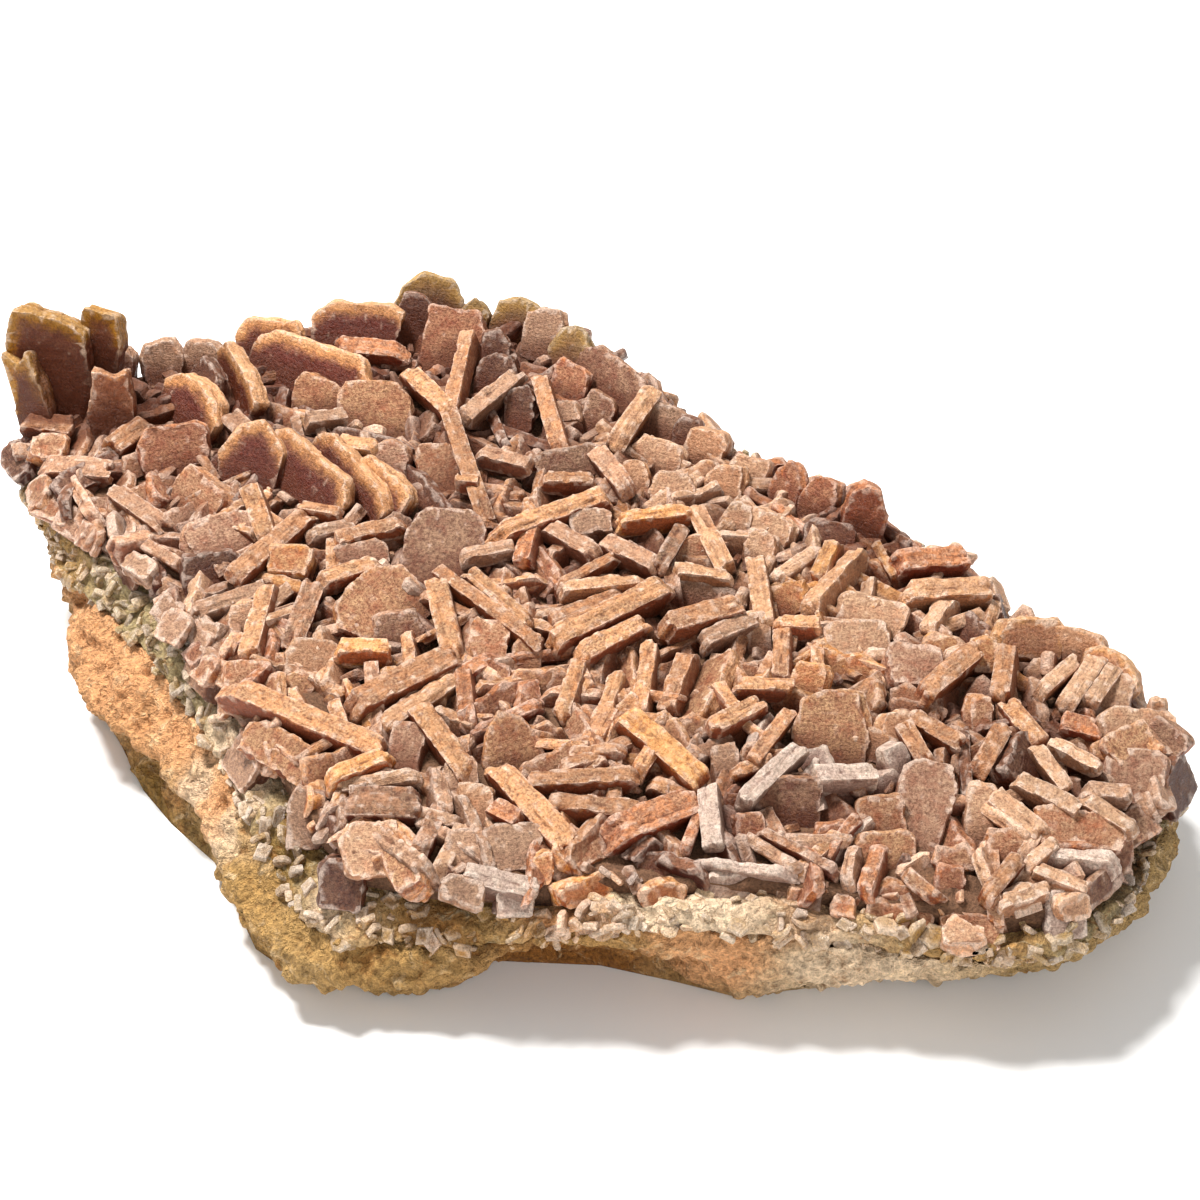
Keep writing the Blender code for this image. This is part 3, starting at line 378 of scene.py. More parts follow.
# Front, from left to right
FRONT = crystals(
    (-82, -114, 3, -63, -103, 3, 32, 8, 8, BAR, ORANGE),
    (-54, -82, 4, -37, -109, 2, 32, 11, 9, BAR, PEACH),
    (-63, -90, 2, -51, -92, 2, 32, 24, 6, TABLET, MAUVE),
    (-37, -99, 6, -19, -91, 6, 50, 30, 7, FAN, PEACH),
    (-47, -108, 1, -36, -107, 1, 36, 16, 6, TABLET, GREY),
    (-75, -120, 3, -50, -120, 3, 46, 15, 9, BAR, PLUM),
    (-43, -118, 1, -32, -117, 1, 36, 18, 7, TABLET, SANDY),
    (-31, -122, 2, -21, -129, 2, 42, 9, 8, BAR, RED),
    (-76, -134, 0, -57, -131, 0, 36, 16, 7, TABLET, PALE),
    (-58, -133, 0, -50, -151, -3, 32, 10, 8, TABLET, PEACH),
    (-47, -135, 0, -34, -133, 0, 36, 18, 7, TABLET, GREY),
    (-40, -144, -3, -18, -150, -3, 42, 9, 8, BAR, WHITE),
    (-34, -132, 1, -17, -131, 1, 32, 15, 6, TABLET, GREY),
    (-19, -142, 0, -12, -142, 0, 50, 10, 8, FAN, ORANGE),
    (-92, -113, -4, -80, -116, -4, 56, 18, 8, TABLET, GREY),
    (-82, -139, -7, -68, -141, -7, 56, 14, 9, TABLET, DARK),
    (8, -86, 7, 33, -113, 3, 36, 12, 10, BAR, ORANGE),
    (7, -80, 1, -6, -111, -1, 36, 10, 7, BAR, DUSTY),
    (9, -111, 3, 17, -95, 3, 40, 8, 7, BAR, PEACH),
    (-22, -113, 2, 13, -110, 2, 32, 8, 7, BAR, DUSTY),
    (-16, -120, 2, 13, -124, 2, 32, 9, 7, BAR, DUSTY),
    (0, -133, 3, 27, -119, 4, 46, 14, 8, BAR, RED),
    (-28, -108, 4, -5, -138, 1, 32, 12, 9, BAR, PEACH),
    (34, -118, 4, 35, -139, 0, 40, 9, 8, BAR, WHITE),
    (39, -125, 5, 59, -102, 6, 40, 8, 8, BAR, WHITE),
    (44, -106, 3, 57, -84, 3, 40, 7, 7, BAR, DUSTY),
    (31, -93, 4, 49, -80, 4, 36, 9, 8, BAR, PEACH),
    (33, -102, 2, 42, -101, 2, 46, 14, 7, TABLET, GREY),
    (46, -117, 5, 66, -117, 5, 58, 26, 8, TABLET, PLUM),
    (60, -84, 7, 83, -86, 8, 46, 34, 8, FAN, PEACH),
    (38, -129, 0, 48, -128, 0, 46, 16, 7, TABLET, RED),
    (63, -114, 6, 82, -112, 5, 32, 8, 8, BAR, WHITE),
    (84, -105, 4, 92, -100, 4, 55, 18, 7, TABLET, WHITE),
    (84, -90, 4, 93, -89, 4, 46, 12, 7, TABLET, SANDY),
    (93, -91, 5, 99, -108, 5, 40, 8, 8, BAR, DUSTY),
    (92, -105, 4, 108, -111, 4, 27, 34, 6, TABLET, MAUVE),
    (108, -116, 3, 117, -117, 3, 40, 32, 8, TABLET, PALE),
    (75, -122, 2, 91, -121, 2, 46, 13, 8, TABLET, DUSTY),
    (74, -134, 0, 91, -134, 0, 50, 16, 8, TABLET, PEACH),
    (62, -131, 0, 74, -130, 0, 50, 18, 7, TABLET, RED),
    (96, -145, -2, 106, -146, -2, 50, 12, 8, TABLET, RED),
    (96, -87, 5, 110, -100, 5, 42, 8, 8, BAR, DUSTY),
    (110, -111, 5, 120, -92, 5, 42, 9, 8, BAR, DUSTY),
    (112, -82, 4, 120, -82, 4, 46, 14, 7, TABLET, DUSTY),
    (112, -133, 0, 126, -132, 0, 42, 10, 8, TABLET, DUSTY),
    (107, -156, 0, 119, -141, 1, 36, 8, 8, BAR, DUSTY),
    (80, -148, -5, 97, -152, -6, 50, 12, 8, TABLET, DUSTY),
    (98, -156, -7, 116, -159, -8, 46, 9, 8, TABLET, DUSTY),
    (10, -138, -3, 26, -140, -4, 50, 14, 8, TABLET, DARK),
    (50, -144, -5, 64, -146, -5, 50, 12, 8, TABLET, GREY),
)

# Foot of the red crystals on the broken edge, anticlockwise from the far left corner
BED_EDGE = np.array((
    (-208, 58), (-191, 26), (-168, 2), (-148, -18), (-131, -48), (-112, -80), (-98, -108),
    (-87, -128), (-73, -146), (-48, -152), (-30, -153), (-15, -154), (6, -153), (27, -153),
    (46, -153), (68, -156), (92, -160), (112, -165), (134, -163), (151, -146), (166, -122),
    (177, -99), (170, -62), (142, -38), (121, -4), (91, 25), (63, 41), (42, 69), (20, 92),
    (-17, 128), (-62, 142), (-106, 127), (-143, 112), (-176, 97), (-204, 84),
), float)


def crest_height(x: float, y: float) -> float:
    """Height of the crest surface over a plan point, in mm."""
    return CREST_LEVEL_MM + CREST_RISE_BACK * y + CREST_RISE_RIGHT * x


def to_world(points_mm: np.ndarray) -> np.ndarray:
    """Specimen millimetres as metres from the object's origin."""
    return (points_mm - ORIGIN_MM) * MM


def linear(code: str) -> tuple[float, float, float, float]:
    """Turn an sRGB hex colour into the linear colour that shaders take.

    Args:
        code: Six hex digits.

    Returns:
        Red, green, blue and an alpha of 1.
    """
    shares = [int(code[place:place + 2], 16) / 255.0 for place in (0, 2, 4)]
    levels = [s / 12.92 if s <= 0.04045 else ((s + 0.055) / 1.055) ** 2.4 for s in shares]
    return levels[0], levels[1], levels[2], 1.0


def lattice_noise(points: np.ndarray, size: float | Sequence[float], seed: int) -> np.ndarray:
    """Smooth noise in space.

    Args:
        points: Positions, one row each.
        size: Width of one swelling, for all axes or one value for each.
        seed: Picks the pattern.

    Returns:
        A value from -1 to 1 for each point.
    """
    scaled = points / np.asarray(size, float) + seed * 7.31
    cell = np.floor(scaled).astype(np.int64)
    share = scaled - cell
    share = share * share * (3.0 - 2.0 * share)
    total = np.zeros(len(points))
    for corner in np.ndindex(2, 2, 2):
        place = cell + np.array(corner)
        mixed = place[:, 0] * 73856093 ^ place[:, 1] * 19349663 ^ place[:, 2] * 83492791
        mixed = (mixed ^ (mixed >> 13)) * 1274126177 & 0xFFFFFFFF
        mixed = (mixed ^ (mixed >> 15)) & 0xFFFF
        weight = np.prod(np.where(np.array(corner) == 1, share, 1.0 - share), axis=1)
        total += weight * (mixed / 32767.5 - 1.0)
    return total


def layered_noise(points: np.ndarray, size: float, seed: int, layers: int = 3) -> np.ndarray:
    """Sum of lattice noises, each half as wide and half as strong as the one before."""
    total = np.zeros(len(points))
    for layer in range(layers):
        total += lattice_noise(points, size / 2 ** layer, seed + layer) / 2 ** layer
    return total


def new_object(name: str, data: bpy.types.ID) -> bpy.types.Object:
    """An object in the scene, at the origin."""
    item = bpy.data.objects.new(name, data)
    bpy.context.scene.collection.objects.link(item)
    return item


def applied(helper: bpy.types.Object) -> bpy.types.Mesh:
    """Mesh of a helper object with its modifiers applied; the helper is removed."""
    graph = bpy.context.evaluated_depsgraph_get()
    mesh = bpy.data.meshes.new_from_object(helper.evaluated_get(graph))
    helper.modifiers.clear()
    bpy.data.objects.remove(helper)
    return mesh


def make_piece(name: str, points: np.ndarray, faces: np.ndarray, values: dict[str, np.ndarray],
               material: bpy.types.Material) -> bpy.types.Object:
    """Make a mesh object of triangles with values stored on its points.

    Args:
        name: Name of the piece.
        points: Positions in metres.
        faces: Three point numbers a row.
        values: Numbers, vectors or colours by attribute name, one row a point.
        material: The piece's finish.

    Returns:
        The object, at the origin.
    """
    low, high = CAD_BOX
    points = np.clip(points, np.array(low), np.array(high))
    mesh = bpy.data.meshes.new(name)
    mesh.vertices.add(len(points))
    mesh.vertices.foreach_set("co", points.astype(np.float32).ravel())
    mesh.loops.add(faces.size)
    mesh.loops.foreach_set("vertex_index", faces.astype(np.int32).ravel())
    mesh.polygons.add(len(faces))
    mesh.polygons.foreach_set("loop_start", np.arange(0, faces.size, 3, dtype=np.int32))
    mesh.update(calc_edges=True)
    mesh.polygons.foreach_set("use_smooth", np.ones(len(faces), bool))
    kinds = {1: ("FLOAT", "value"), 3: ("FLOAT_VECTOR", "vector"), 4: ("FLOAT_COLOR", "color")}
    for key, rows in values.items():
        kind, part = kinds[1 if rows.ndim == 1 else rows.shape[1]]
        layer = mesh.attributes.new(key, kind, "POINT")
        layer.data.foreach_set(part, rows.astype(np.float32).ravel())
    mesh.materials.append(material)
    return new_object(name, mesh)


def read_mesh(mesh: bpy.types.Mesh) -> tuple[np.ndarray, np.ndarray, np.ndarray]:
    """Points, point normals and triangles of a mesh."""
    mesh.calc_loop_triangles()
    points = np.empty(len(mesh.vertices) * 3, np.float32)
    mesh.vertices.foreach_get("co", points)
    normals = np.empty(len(mesh.vertices) * 3, np.float32)
    mesh.vertex_normals.foreach_get("vector", normals)
    faces = np.empty(len(mesh.loop_triangles) * 3, np.int32)
    mesh.loop_triangles.foreach_get("vertices", faces)
    return points.reshape(-1, 3).astype(float), normals.reshape(-1, 3), faces.reshape(-1, 3)


def bulge(points: np.ndarray, normals: np.ndarray, faces: np.ndarray) -> np.ndarray:
    """How far each point stands out over its neighbours along its normal.

    Args:
        points: Positions.
        normals: Unit normals.
        faces: Three point numbers a row.

    Returns:
        Above 0 on ridges and below 0 in grooves, in the unit of the positions.
    """
    near = np.zeros_like(points)
    count = np.zeros(len(points))
    for here, after in ((0, 1), (1, 2), (2, 0)):
        for axis in range(3):
            near[:, axis] += np.bincount(faces[:, here], points[faces[:, after], axis], len(points))
            near[:, axis] += np.bincount(faces[:, after], points[faces[:, here], axis], len(points))
        count += np.bincount(faces[:, here], minlength=len(points))
        count += np.bincount(faces[:, after], minlength=len(points))
    return ((points - near / np.maximum(count, 1)[:, None]) * normals).sum(axis=1)


def shaped(mesh: bpy.types.Mesh, kind: str, settings: dict) -> bpy.types.Mesh:
    """A copy of a mesh with one modifier applied to it.

    Args:
        mesh: The mesh to start from, which is removed.
        kind: The modifier's type.
        settings: Its settings.

    Returns:
        The new mesh.
    """
    helper = new_object("helper", mesh)
    modifier = helper.modifiers.new("shape", kind)
    for key, value in settings.items():
        setattr(modifier, key, value)
    result = applied(helper)
    bpy.data.meshes.remove(mesh)
    return result


def tinted(tints: Sequence[Tint], bright: np.ndarray) -> dict[str, np.ndarray]:
    """Linear colours of crystals by attribute name.

    Args:
        tints: Each crystal's tint.
        bright: Brightness of each, as a column.

    Returns:
        One colour a crystal for each attribute.
    """
    return {key: np.array([linear(getattr(tint.value, part)) for tint in tints]) * bright
            for key, part in (("core", "core"), ("edge", "rim"), ("dust", "dust"))}


# Nodes: the kinds used most, and their usual settings

NOISE, RANGE = "ShaderNodeTexNoise", "ShaderNodeMapRange"
MATH, MIX = "ShaderNodeMath", "ShaderNodeMix"
SMOOTH = {"interpolation_type": "SMOOTHSTEP"}
COLOUR = {"data_type": "RGBA"}


def set_inputs(tree: bpy.types.NodeTree, node: bpy.types.Node, inputs: dict) -> None:
    """Set the inputs of a node.

    Args:
        tree: The node tree.
        node: The node.
        inputs: By name or number a value, an output socket, or a node for its first output in use.
    """
    for key, value in inputs.items():
        if isinstance(value, bpy.types.Node):
            value = next(socket for socket in value.outputs if socket.enabled)
        if isinstance(value, bpy.types.NodeSocket):
            tree.links.new(value, node.inputs[key])
        else:
            node.inputs[key].default_value = value


def add_node(tree: bpy.types.NodeTree, kind: str, inputs: dict | None = None,
             **settings) -> bpy.types.Node:
    """Add a node to a tree.

    Args:
        tree: The node tree.
        kind: The node's type name.
        inputs: Its inputs, as set_inputs takes them. A colour mix takes its share as 0, what lies
            under as 6 and what lies over as 7.
        settings: Properties of the node.

    Returns:
        The new node.
    """
    node = tree.nodes.new(kind)
    for key, value in settings.items():
        setattr(node, key, value)
    set_inputs(tree, node, inputs or {})
    return node


def new_material(name: str) -> tuple[bpy.types.Material, bpy.types.NodeTree, bpy.types.Node]:
    """A new material with its node tree and its shader."""
    made = bpy.data.materials.new(name)
    made.use_nodes = True
    return made, made.node_tree, made.node_tree.nodes["Principled BSDF"]


# Finishes


@dataclass(frozen=True)
class BariteFinish:
    """Natural barite, worn and dusted, with painted light and shade.

    A crystal with a glassy cleavage under a thin rough skin: a deep core that fades to a lighter
    rim with a painted glow where they meet, dark growth lines along its sides, pale worn edges
    with a painted highlight, a matt dust on what faces up, and painted shade in the grooves and
    deep in the gaps.
    """

    name: str = "barite_worn_painted_light"
    # Painted shade: the colour painted into grooves and deep in the gaps between crystals
    painted_gap_shade_colour: str = "56260E"
    line_colour: str = "3A2218"
    # Worn ridges are painted towards this near-white, partly wear and partly a painted highlight
    worn_highlight_colour: str = "F6E4D4"
    swelling_mm: float = 4.5
    streak_mm: tuple[float, float, float] = (1.3, 9.0, 1.3)
    lamella_mm: tuple[float, float, float] = (14.0, 14.0, 1.5)
    grain_mm: float = 0.9
    bump_mm: float = 1.0
    ragged_mm: float = 9.0
    smooth: float = 0.36
    matt: float = 0.85
    # Painted glow: how much brighter and richer the colour is painted where core meets rim
    painted_glow: float = 0.24
    shine: float = 0.2
    refraction: float = 1.64

    def material(self) -> bpy.types.Material:
        """Build the material from the crystals' own attributes."""
        made, tree, shader = new_material(self.name)
        add = partial(add_node, tree)
        named = {key: add("ShaderNodeAttribute", attribute_name=key)
                 for key in ("core", "edge", "dust", "lay", "traits", "depths")}
        traits, depths, lay = (named[key].outputs["Vector"] for key in ("traits", "depths", "lay"))
        rim_mm, dust_share, height = add("ShaderNodeSeparateXYZ", {0: traits}).outputs
        inward, drop, below = add("ShaderNodeSeparateXYZ", {0: depths}).outputs
        along, across = (
            add("ShaderNodeMapping", {"Vector": lay, "Scale": tuple(1.0 / size for size in sizes)})
            for sizes in (self.streak_mm, self.lamella_mm))

        # Patterns in mm on each crystal, and the marks that they and its shape give
        swell, grain, streak, lamella = (
            add(NOISE, {"Vector": place, "Scale": scale, "Detail": detail, "Roughness": rough,
                        "Distortion": twist})
            for place, scale, detail, rough, twist in (
                (lay, 1.0 / self.swelling_mm, 4.0, 0.72, 0.0), (lay, 1.0 / self.grain_mm, 3.0, 0.8, 0.0),
                (along, 1.0, 2.0, 0.65, 0.0), (across, 1.0, 2.0, 0.6, 0.3)))
        tones, patchy, skin, specks = (
            add(RANGE, {"Value": value, "From Min": low, "From Max": high, "To Min": least,
                        "To Max": most})
            for value, low, high, least, most in (
                (streak, 0.30, 0.70, 0.80, 1.16), (swell, 0.34, 0.58, 0.30, 1.2),
                (grain, 0.38, 0.54, 0.45, 1.0), (grain, 0.32, 0.66, 0.58, 1.34)))
        ridge, side, crack, gap_shade_mask, groove_shade_mask = (
            add(RANGE, {"Value": value, "From Min": low, "From Max": high, "To Max": most}, **SMOOTH)
            for value, low, high, most in (
                (height, 0.05, 0.30, 0.60), (below, 0.5, 1.6, 1.0), (lamella, 0.42, 0.34, 0.20),
                (drop, 2.0, 9.0, 0.85), (height, -0.05, -0.24, 0.60)))

        # A core that fades to the rim along a ragged border, with a painted glow where they meet:
        # colour made brighter and richer as if lit through the crystal
        ragged = add(MATH, {0: swell, 1: self.ragged_mm, 2: -self.ragged_mm / 2},
                     operation="MULTIPLY_ADD")
        border = add(MATH, {0: inward, 1: ragged}, operation="ADD")
        fade = add(RANGE, {"Value": border, "From Min": -1.0, "From Max": rim_mm}, **SMOOTH)
        body = add(MIX, {0: fade, 6: named["edge"], 7: named["core"]}, **COLOUR)
        between = add(MATH, {0: fade, 1: 0.5}, operation="PINGPONG")
        painted_glow = add(MATH, {0: between, 1: self.painted_glow, 2: 1.0}, operation="MULTIPLY_ADD")
        body = add("ShaderNodeHueSaturation", {"Color": body, "Saturation": painted_glow, "Value": painted_glow})
        body = add(MIX, {0: 1.0, 6: body, 7: tones}, blend_type="MULTIPLY", **COLOUR)

        # Dust on what faces up, in patches and broken up by the grain
        normal = add("ShaderNodeSeparateXYZ", {0: add("ShaderNodeNewGeometry").outputs["Normal"]})
        cover = add(RANGE, {"Value": normal.outputs["Z"], "From Min": -0.20, "From Max": 0.80},
                    **SMOOTH)
        for share in (patchy, skin, dust_share):
            cover = add(MATH, {0: cover, 1: share}, operation="MULTIPLY", use_clamp=share is dust_share)
        body = add(MIX, {0: cover, 6: body, 7: named["dust"]}, **COLOUR)

        # Pale worn ridges with a painted highlight, dark cracks along the sides, and painted shade
        # in the grooves and deep in the gaps
        wear_and_highlight = add(MATH, {0: ridge, 1: patchy}, operation="MULTIPLY", use_clamp=True)
        lit = add(MIX, {0: 0.5, 6: named["edge"], 7: linear(self.worn_highlight_colour)}, **COLOUR)
        body = add(MIX, {0: wear_and_highlight, 6: body, 7: lit}, **COLOUR)
        split = add(MATH, {0: side, 1: crack}, operation="MULTIPLY")
        body = add(MIX, {0: split, 6: body, 7: linear(self.line_colour)}, **COLOUR)
        painted_shade_mask = add(MATH, {0: gap_shade_mask, 1: groove_shade_mask}, operation="MAXIMUM")
        body = add(MIX, {0: painted_shade_mask, 6: body, 7: linear(self.painted_gap_shade_colour)}, **COLOUR)
        body = add(MIX, {0: 1.0, 6: body, 7: specks}, blend_type="MULTIPLY", **COLOUR)

        gloss = add(RANGE, {"Value": cover, "To Min": self.smooth, "To Max": self.matt})
        relief = add(MATH, {0: lamella, 1: 0.8, 2: grain}, operation="MULTIPLY_ADD")
        relief = add(MATH, {0: streak, 1: 0.4, 2: relief}, operation="MULTIPLY_ADD")
        bump = add("ShaderNodeBump", {"Height": relief, "Strength": 1.0, "Distance": self.bump_mm * MM})
        set_inputs(tree, shader, {"Base Color": body, "Roughness": gloss, "Normal": bump,
                                  "IOR": self.refraction, "Specular IOR Level": self.shine})
        return made


@dataclass(frozen=True)
class StoneFinish:
    """Broken stone, such as sandy matrix rock or the sugary crust on it.

    A matt, dry surface of many grains, with rust and pale mineral in patches.
    """

    name: str
    pale_colour: str
    dark_colour: str
    grain_mm: float = 0.8
    patch_mm: float = 9.0
    bump_mm: float = 0.35
    roughness: float = 0.86
    shine: float = 0.2

    def material(self) -> bpy.types.Material:
        """Build the material from the piece's tone attribute and noises sized to its grain."""
        made, tree, shader = new_material(self.name)
        add = partial(add_node, tree)
        place = add("ShaderNodeTexCoord").outputs["Object"]
        body = add("ShaderNodeAttribute", attribute_name="tone")
        grain = add(NOISE, {"Vector": place, "Scale": 1.0 / (self.grain_mm * MM), "Detail": 3.0,
                            "Roughness": 0.75})
        patch = add(NOISE, {"Vector": place, "Scale": 1.0 / (self.patch_mm * MM), "Detail": 4.0,
                            "Roughness": 0.7, "Distortion": 0.6})
        for colour, low, high, most in ((self.pale_colour, 0.54, 0.72, 0.65),
                                        (self.dark_colour, 0.46, 0.28, 0.7)):
            share = add(RANGE, {"Value": patch, "From Min": low, "From Max": high, "To Max": most},
                        **SMOOTH)
            body = add(MIX, {0: share, 6: body, 7: linear(colour)}, **COLOUR)
        specks = add(RANGE, {"Value": grain, "From Min": 0.30, "From Max": 0.66,
                             "To Min": 0.48, "To Max": 1.42})
        body = add(MIX, {0: 1.0, 6: body, 7: specks}, blend_type="MULTIPLY", **COLOUR)
        relief = add(MATH, {0: patch, 1: 2.0, 2: grain}, operation="MULTIPLY_ADD")
        bump = add("ShaderNodeBump", {"Height": relief, "Strength": 0.9, "Distance": self.bump_mm * MM})
        set_inputs(tree, shader, {"Base Color": body, "Normal": bump, "Roughness": self.roughness,
                                  "Specular IOR Level": self.shine})
        return made


# Crystals


class Stand(NamedTuple):
    """Where a crystal stands: a corner in mm, its directions as rows, and its sizes in mm.

    The directions go down the plate, along its crest edge and out of its face.
    """

    start: np.ndarray
    turn: np.ndarray
    length: float
    width: float
    thick: float


def stand_of(crystal: Crystal) -> Stand:
    """Work out how a crystal stands.

    A bar is the upper edge of a plate that stands in the bed, so it is turned to have its thin
    layers side by side along its top.

    Args:
        crystal: The crystal.

    Returns:
        Its stand.
    """
    is_bar = crystal.outline is BAR
    start = Vector((crystal.x1, crystal.y1, crest_height(crystal.x1, crystal.y1) + crystal.h1))
    end = Vector((crystal.x2, crystal.y2, crest_height(crystal.x2, crystal.y2) + crystal.h2))
    along = (end - start).normalized()
    right_hand = Vector((along.y, -along.x, 0.0)).normalized()
    dip = math.radians(max(6.0, crystal.dip * 0.5 - 4.0) if is_bar else crystal.dip)
    down = right_hand * math.cos(dip) - Vector((0.0, 0.0, 1.0)) * math.sin(dip)
    down = (down - along * down.dot(along)).normalized()
    outward = down.cross(along)
    length = (end - start).length
    if not is_bar:
        return Stand(np.array(start), np.array((down, along, outward)), length, crystal.width,
                     crystal.thick)
    broad = crystal.width * 0.66
    return Stand(np.array(start + down * broad), np.array((-outward, along, down)), length,
                 crystal.thick * 1.1, broad)


def border_distance(points: np.ndarray, corners: np.ndarray, lowest: float) -> np.ndarray:
    """Distance of plan points from the nearest upper edge of a polygon.

    Args:
        points: Plan points.
        corners: The polygon's corners.
        lowest: Edges whose middle lies further down than this don't count.

    Returns:
        One distance a point.
    """
    nearest = np.full(len(points), FAR_MM)
    for first, last in zip(corners, np.roll(corners, -1, axis=0)):
        edge = last - first
        if first[0] + edge[0] / 2 > lowest:
            continue
        offset = points - first
        share = np.clip(offset @ edge / max(edge @ edge, 1e-9), 0.0, 1.0)
        gap = np.linalg.norm(offset - share[:, None] * edge, axis=1)
        nearest = np.minimum(nearest, gap)
    return nearest


def grid_over(outline: np.ndarray, step: float) -> np.ndarray:
    """Plan points a step apart over a polygon's box."""
    axes = [np.arange(low, high, step) for low, high in zip(outline.min(axis=0), outline.max(axis=0))]
    return np.stack(np.meshgrid(*axes), axis=-1).reshape(-1, 2)


@dataclass
class Filler:
    """Smaller blades that fill the gaps between the listed crystals and fringe the broken edge."""

    step_mm: float = 8.6
    cell_mm: float = 2.0
    look_mm: float = 4.5
    open_share: float = 0.24
    inner_share: float = 0.94
    jitter: float = 0.42
    length_mm: tuple[float, float] = (13.0, 32.0)
    width_mm: tuple[float, float] = (8.0, 12.0)
    thick_mm: tuple[float, float] = (3.0, 5.2)
    lift_mm: tuple[float, float] = (-3.5, 1.4)
    dip_deg: tuple[float, float] = (35.0, 88.0)
    fringe_step_mm: float = 7.0
    front_sparse: float = 2.2
    front_y_mm: float = -115.0
    seed: int = 5

    def covered(self, rows: Sequence[Crystal], centres: np.ndarray) -> np.ndarray:
        """Which plan points lie under a crystal's face.

        Args:
            rows: The crystals.
            centres: Plan points in mm.

        Returns:
            True for each covered point.
        """
        flags = np.zeros(len(centres), bool)
        for crystal in rows:
            stand = stand_of(crystal)
            down, along, outward = stand.turn
            depth = -outward * stand.thick if crystal.outline is BAR else down * stand.width
            sides = np.array((depth[:2], along[:2] * stand.length))
            if abs(np.linalg.det(sides)) > 1e-6:
                shares = (centres - stand.start[:2]) @ np.linalg.inv(sides)
                flags |= ((shares > 0.0) & (shares < 1.0)).all(axis=1)
        return flags

    def nearby_tint(self, listed: Sequence[Crystal], spot: np.ndarray,
                    chance: np.random.Generator) -> Tint:
        """Tint of one of the listed crystals round a plan point.

        Args:
            listed: The listed crystals.
            spot: The plan point in mm.
            chance: Picks which of them.

        Returns:
            Its tint, and a plain one in place of a honey one.
        """
        middles = np.array([((row.x1 + row.x2) / 2, (row.y1 + row.y2) / 2) for row in listed])
        nearest = np.argsort(np.linalg.norm(middles - spot, axis=1))[:4]
        tint = listed[nearest[chance.integers(0, 4)]].tint
        return DARK if tint in (HONEY, OLIVE, AMBER, OCHRE) else tint

    def gap_rows(self, listed: Sequence[Crystal]) -> list[Crystal]:
        """Blades for the gaps.

        Args:
            listed: The crystals already there.

        Returns:
            New crystals, a little lower than the others.
        """
        chance = np.random.default_rng(self.seed)
        cells, spots = (grid_over(BED_EDGE, step) for step in (self.cell_mm, self.step_mm))
        hidden = self.covered(listed, cells)
        spots = spots + chance.uniform(-self.jitter, self.jitter, spots.shape) * self.step_mm
        rows = []
        for spot in spots:
            if not inside(HEART_MM + (spot - HEART_MM) / self.inner_share, BED_EDGE):
                continue
            near = np.linalg.norm(cells - spot, axis=1) < self.look_mm
            if 1.0 - hidden[near].mean() < self.open_share:
                continue
            length = chance.uniform(*self.length_mm)
            angle = chance.uniform(0.0, FULL_TURN)
            width = chance.uniform(*self.width_mm)
            dip = chance.uniform(*self.dip_deg)
            reach = np.array((math.cos(angle), math.sin(angle))) * length / 2
            slide = np.array((-reach[1], reach[0])) / length * width * math.cos(math.radians(dip))
            first, last = spot - reach + slide, spot + reach + slide
            lift = chance.uniform(*self.lift_mm, 2)
            kind = (BLADE, BLADE, BLADE, BLADE, TABLET, RHOMB)[chance.integers(0, 6)]
            rows.append(Crystal(*first, lift[0], *last, lift.mean(), dip, width,
                                chance.uniform(*self.thick_mm), kind,
                                self.nearby_tint(listed, spot, chance)))
        return rows

    def fringe_rows(self, listed: Sequence[Crystal]) -> list[Crystal]:
        """Broken crystals that hang over the crust all along the edge.

        Args:
            listed: The crystals already there, for their tints.

        Returns:
            New crystals.
        """
        chance = np.random.default_rng(self.seed + 1)
        rows = []
        for first, last in zip(BED_EDGE, np.roll(BED_EDGE, -1, axis=0)):
            span = np.linalg.norm(last - first)
            sparse = self.front_sparse if (first[1] + last[1]) / 2 < self.front_y_mm else 1.0
            count = max(1, int(round(span / self.fringe_step_mm / sparse)))
            way = (last - first) / span
            for step in range(count):
                middle = first + (last - first) * (step + chance.uniform(0.2, 0.8)) / count
                middle = HEART_MM + (middle - HEART_MM) * chance.uniform(0.93, 0.985)
                tilt = chance.normal(0.0, 0.35)
                turned = np.array((way[0] - way[1] * tilt, way[1] + way[0] * tilt))
                reach = turned / np.linalg.norm(turned) * chance.uniform(4.0, 9.0)
                lift = chance.uniform(-7.5, -1.5)
                kind = (TABLET, BLADE, BLADE, FAN)[chance.integers(0, 4)]
                tint = self.nearby_tint(listed, middle, chance)
                rows.append(Crystal(*(middle - reach), lift, *(middle + reach),
                                    lift + chance.uniform(-2, 2), chance.uniform(25.0, 80.0),
                                    chance.uniform(7.0, 11.0), chance.uniform(3.5, 6.0), kind, tint))
        return rows


def inside(spot: np.ndarray, outline: np.ndarray) -> bool:
    """Whether a plan point lies inside a polygon."""
    after = np.roll(outline, -1, axis=0)
    crosses = (outline[:, 1] > spot[1]) != (after[:, 1] > spot[1])
    rise = np.where(crosses, after[:, 1] - outline[:, 1], 1.0)
    at = outline[:, 0] + (spot[1] - outline[:, 1]) / rise * (after[:, 0] - outline[:, 0])
    return bool(np.count_nonzero(crosses & (spot[0] < at)) % 2)


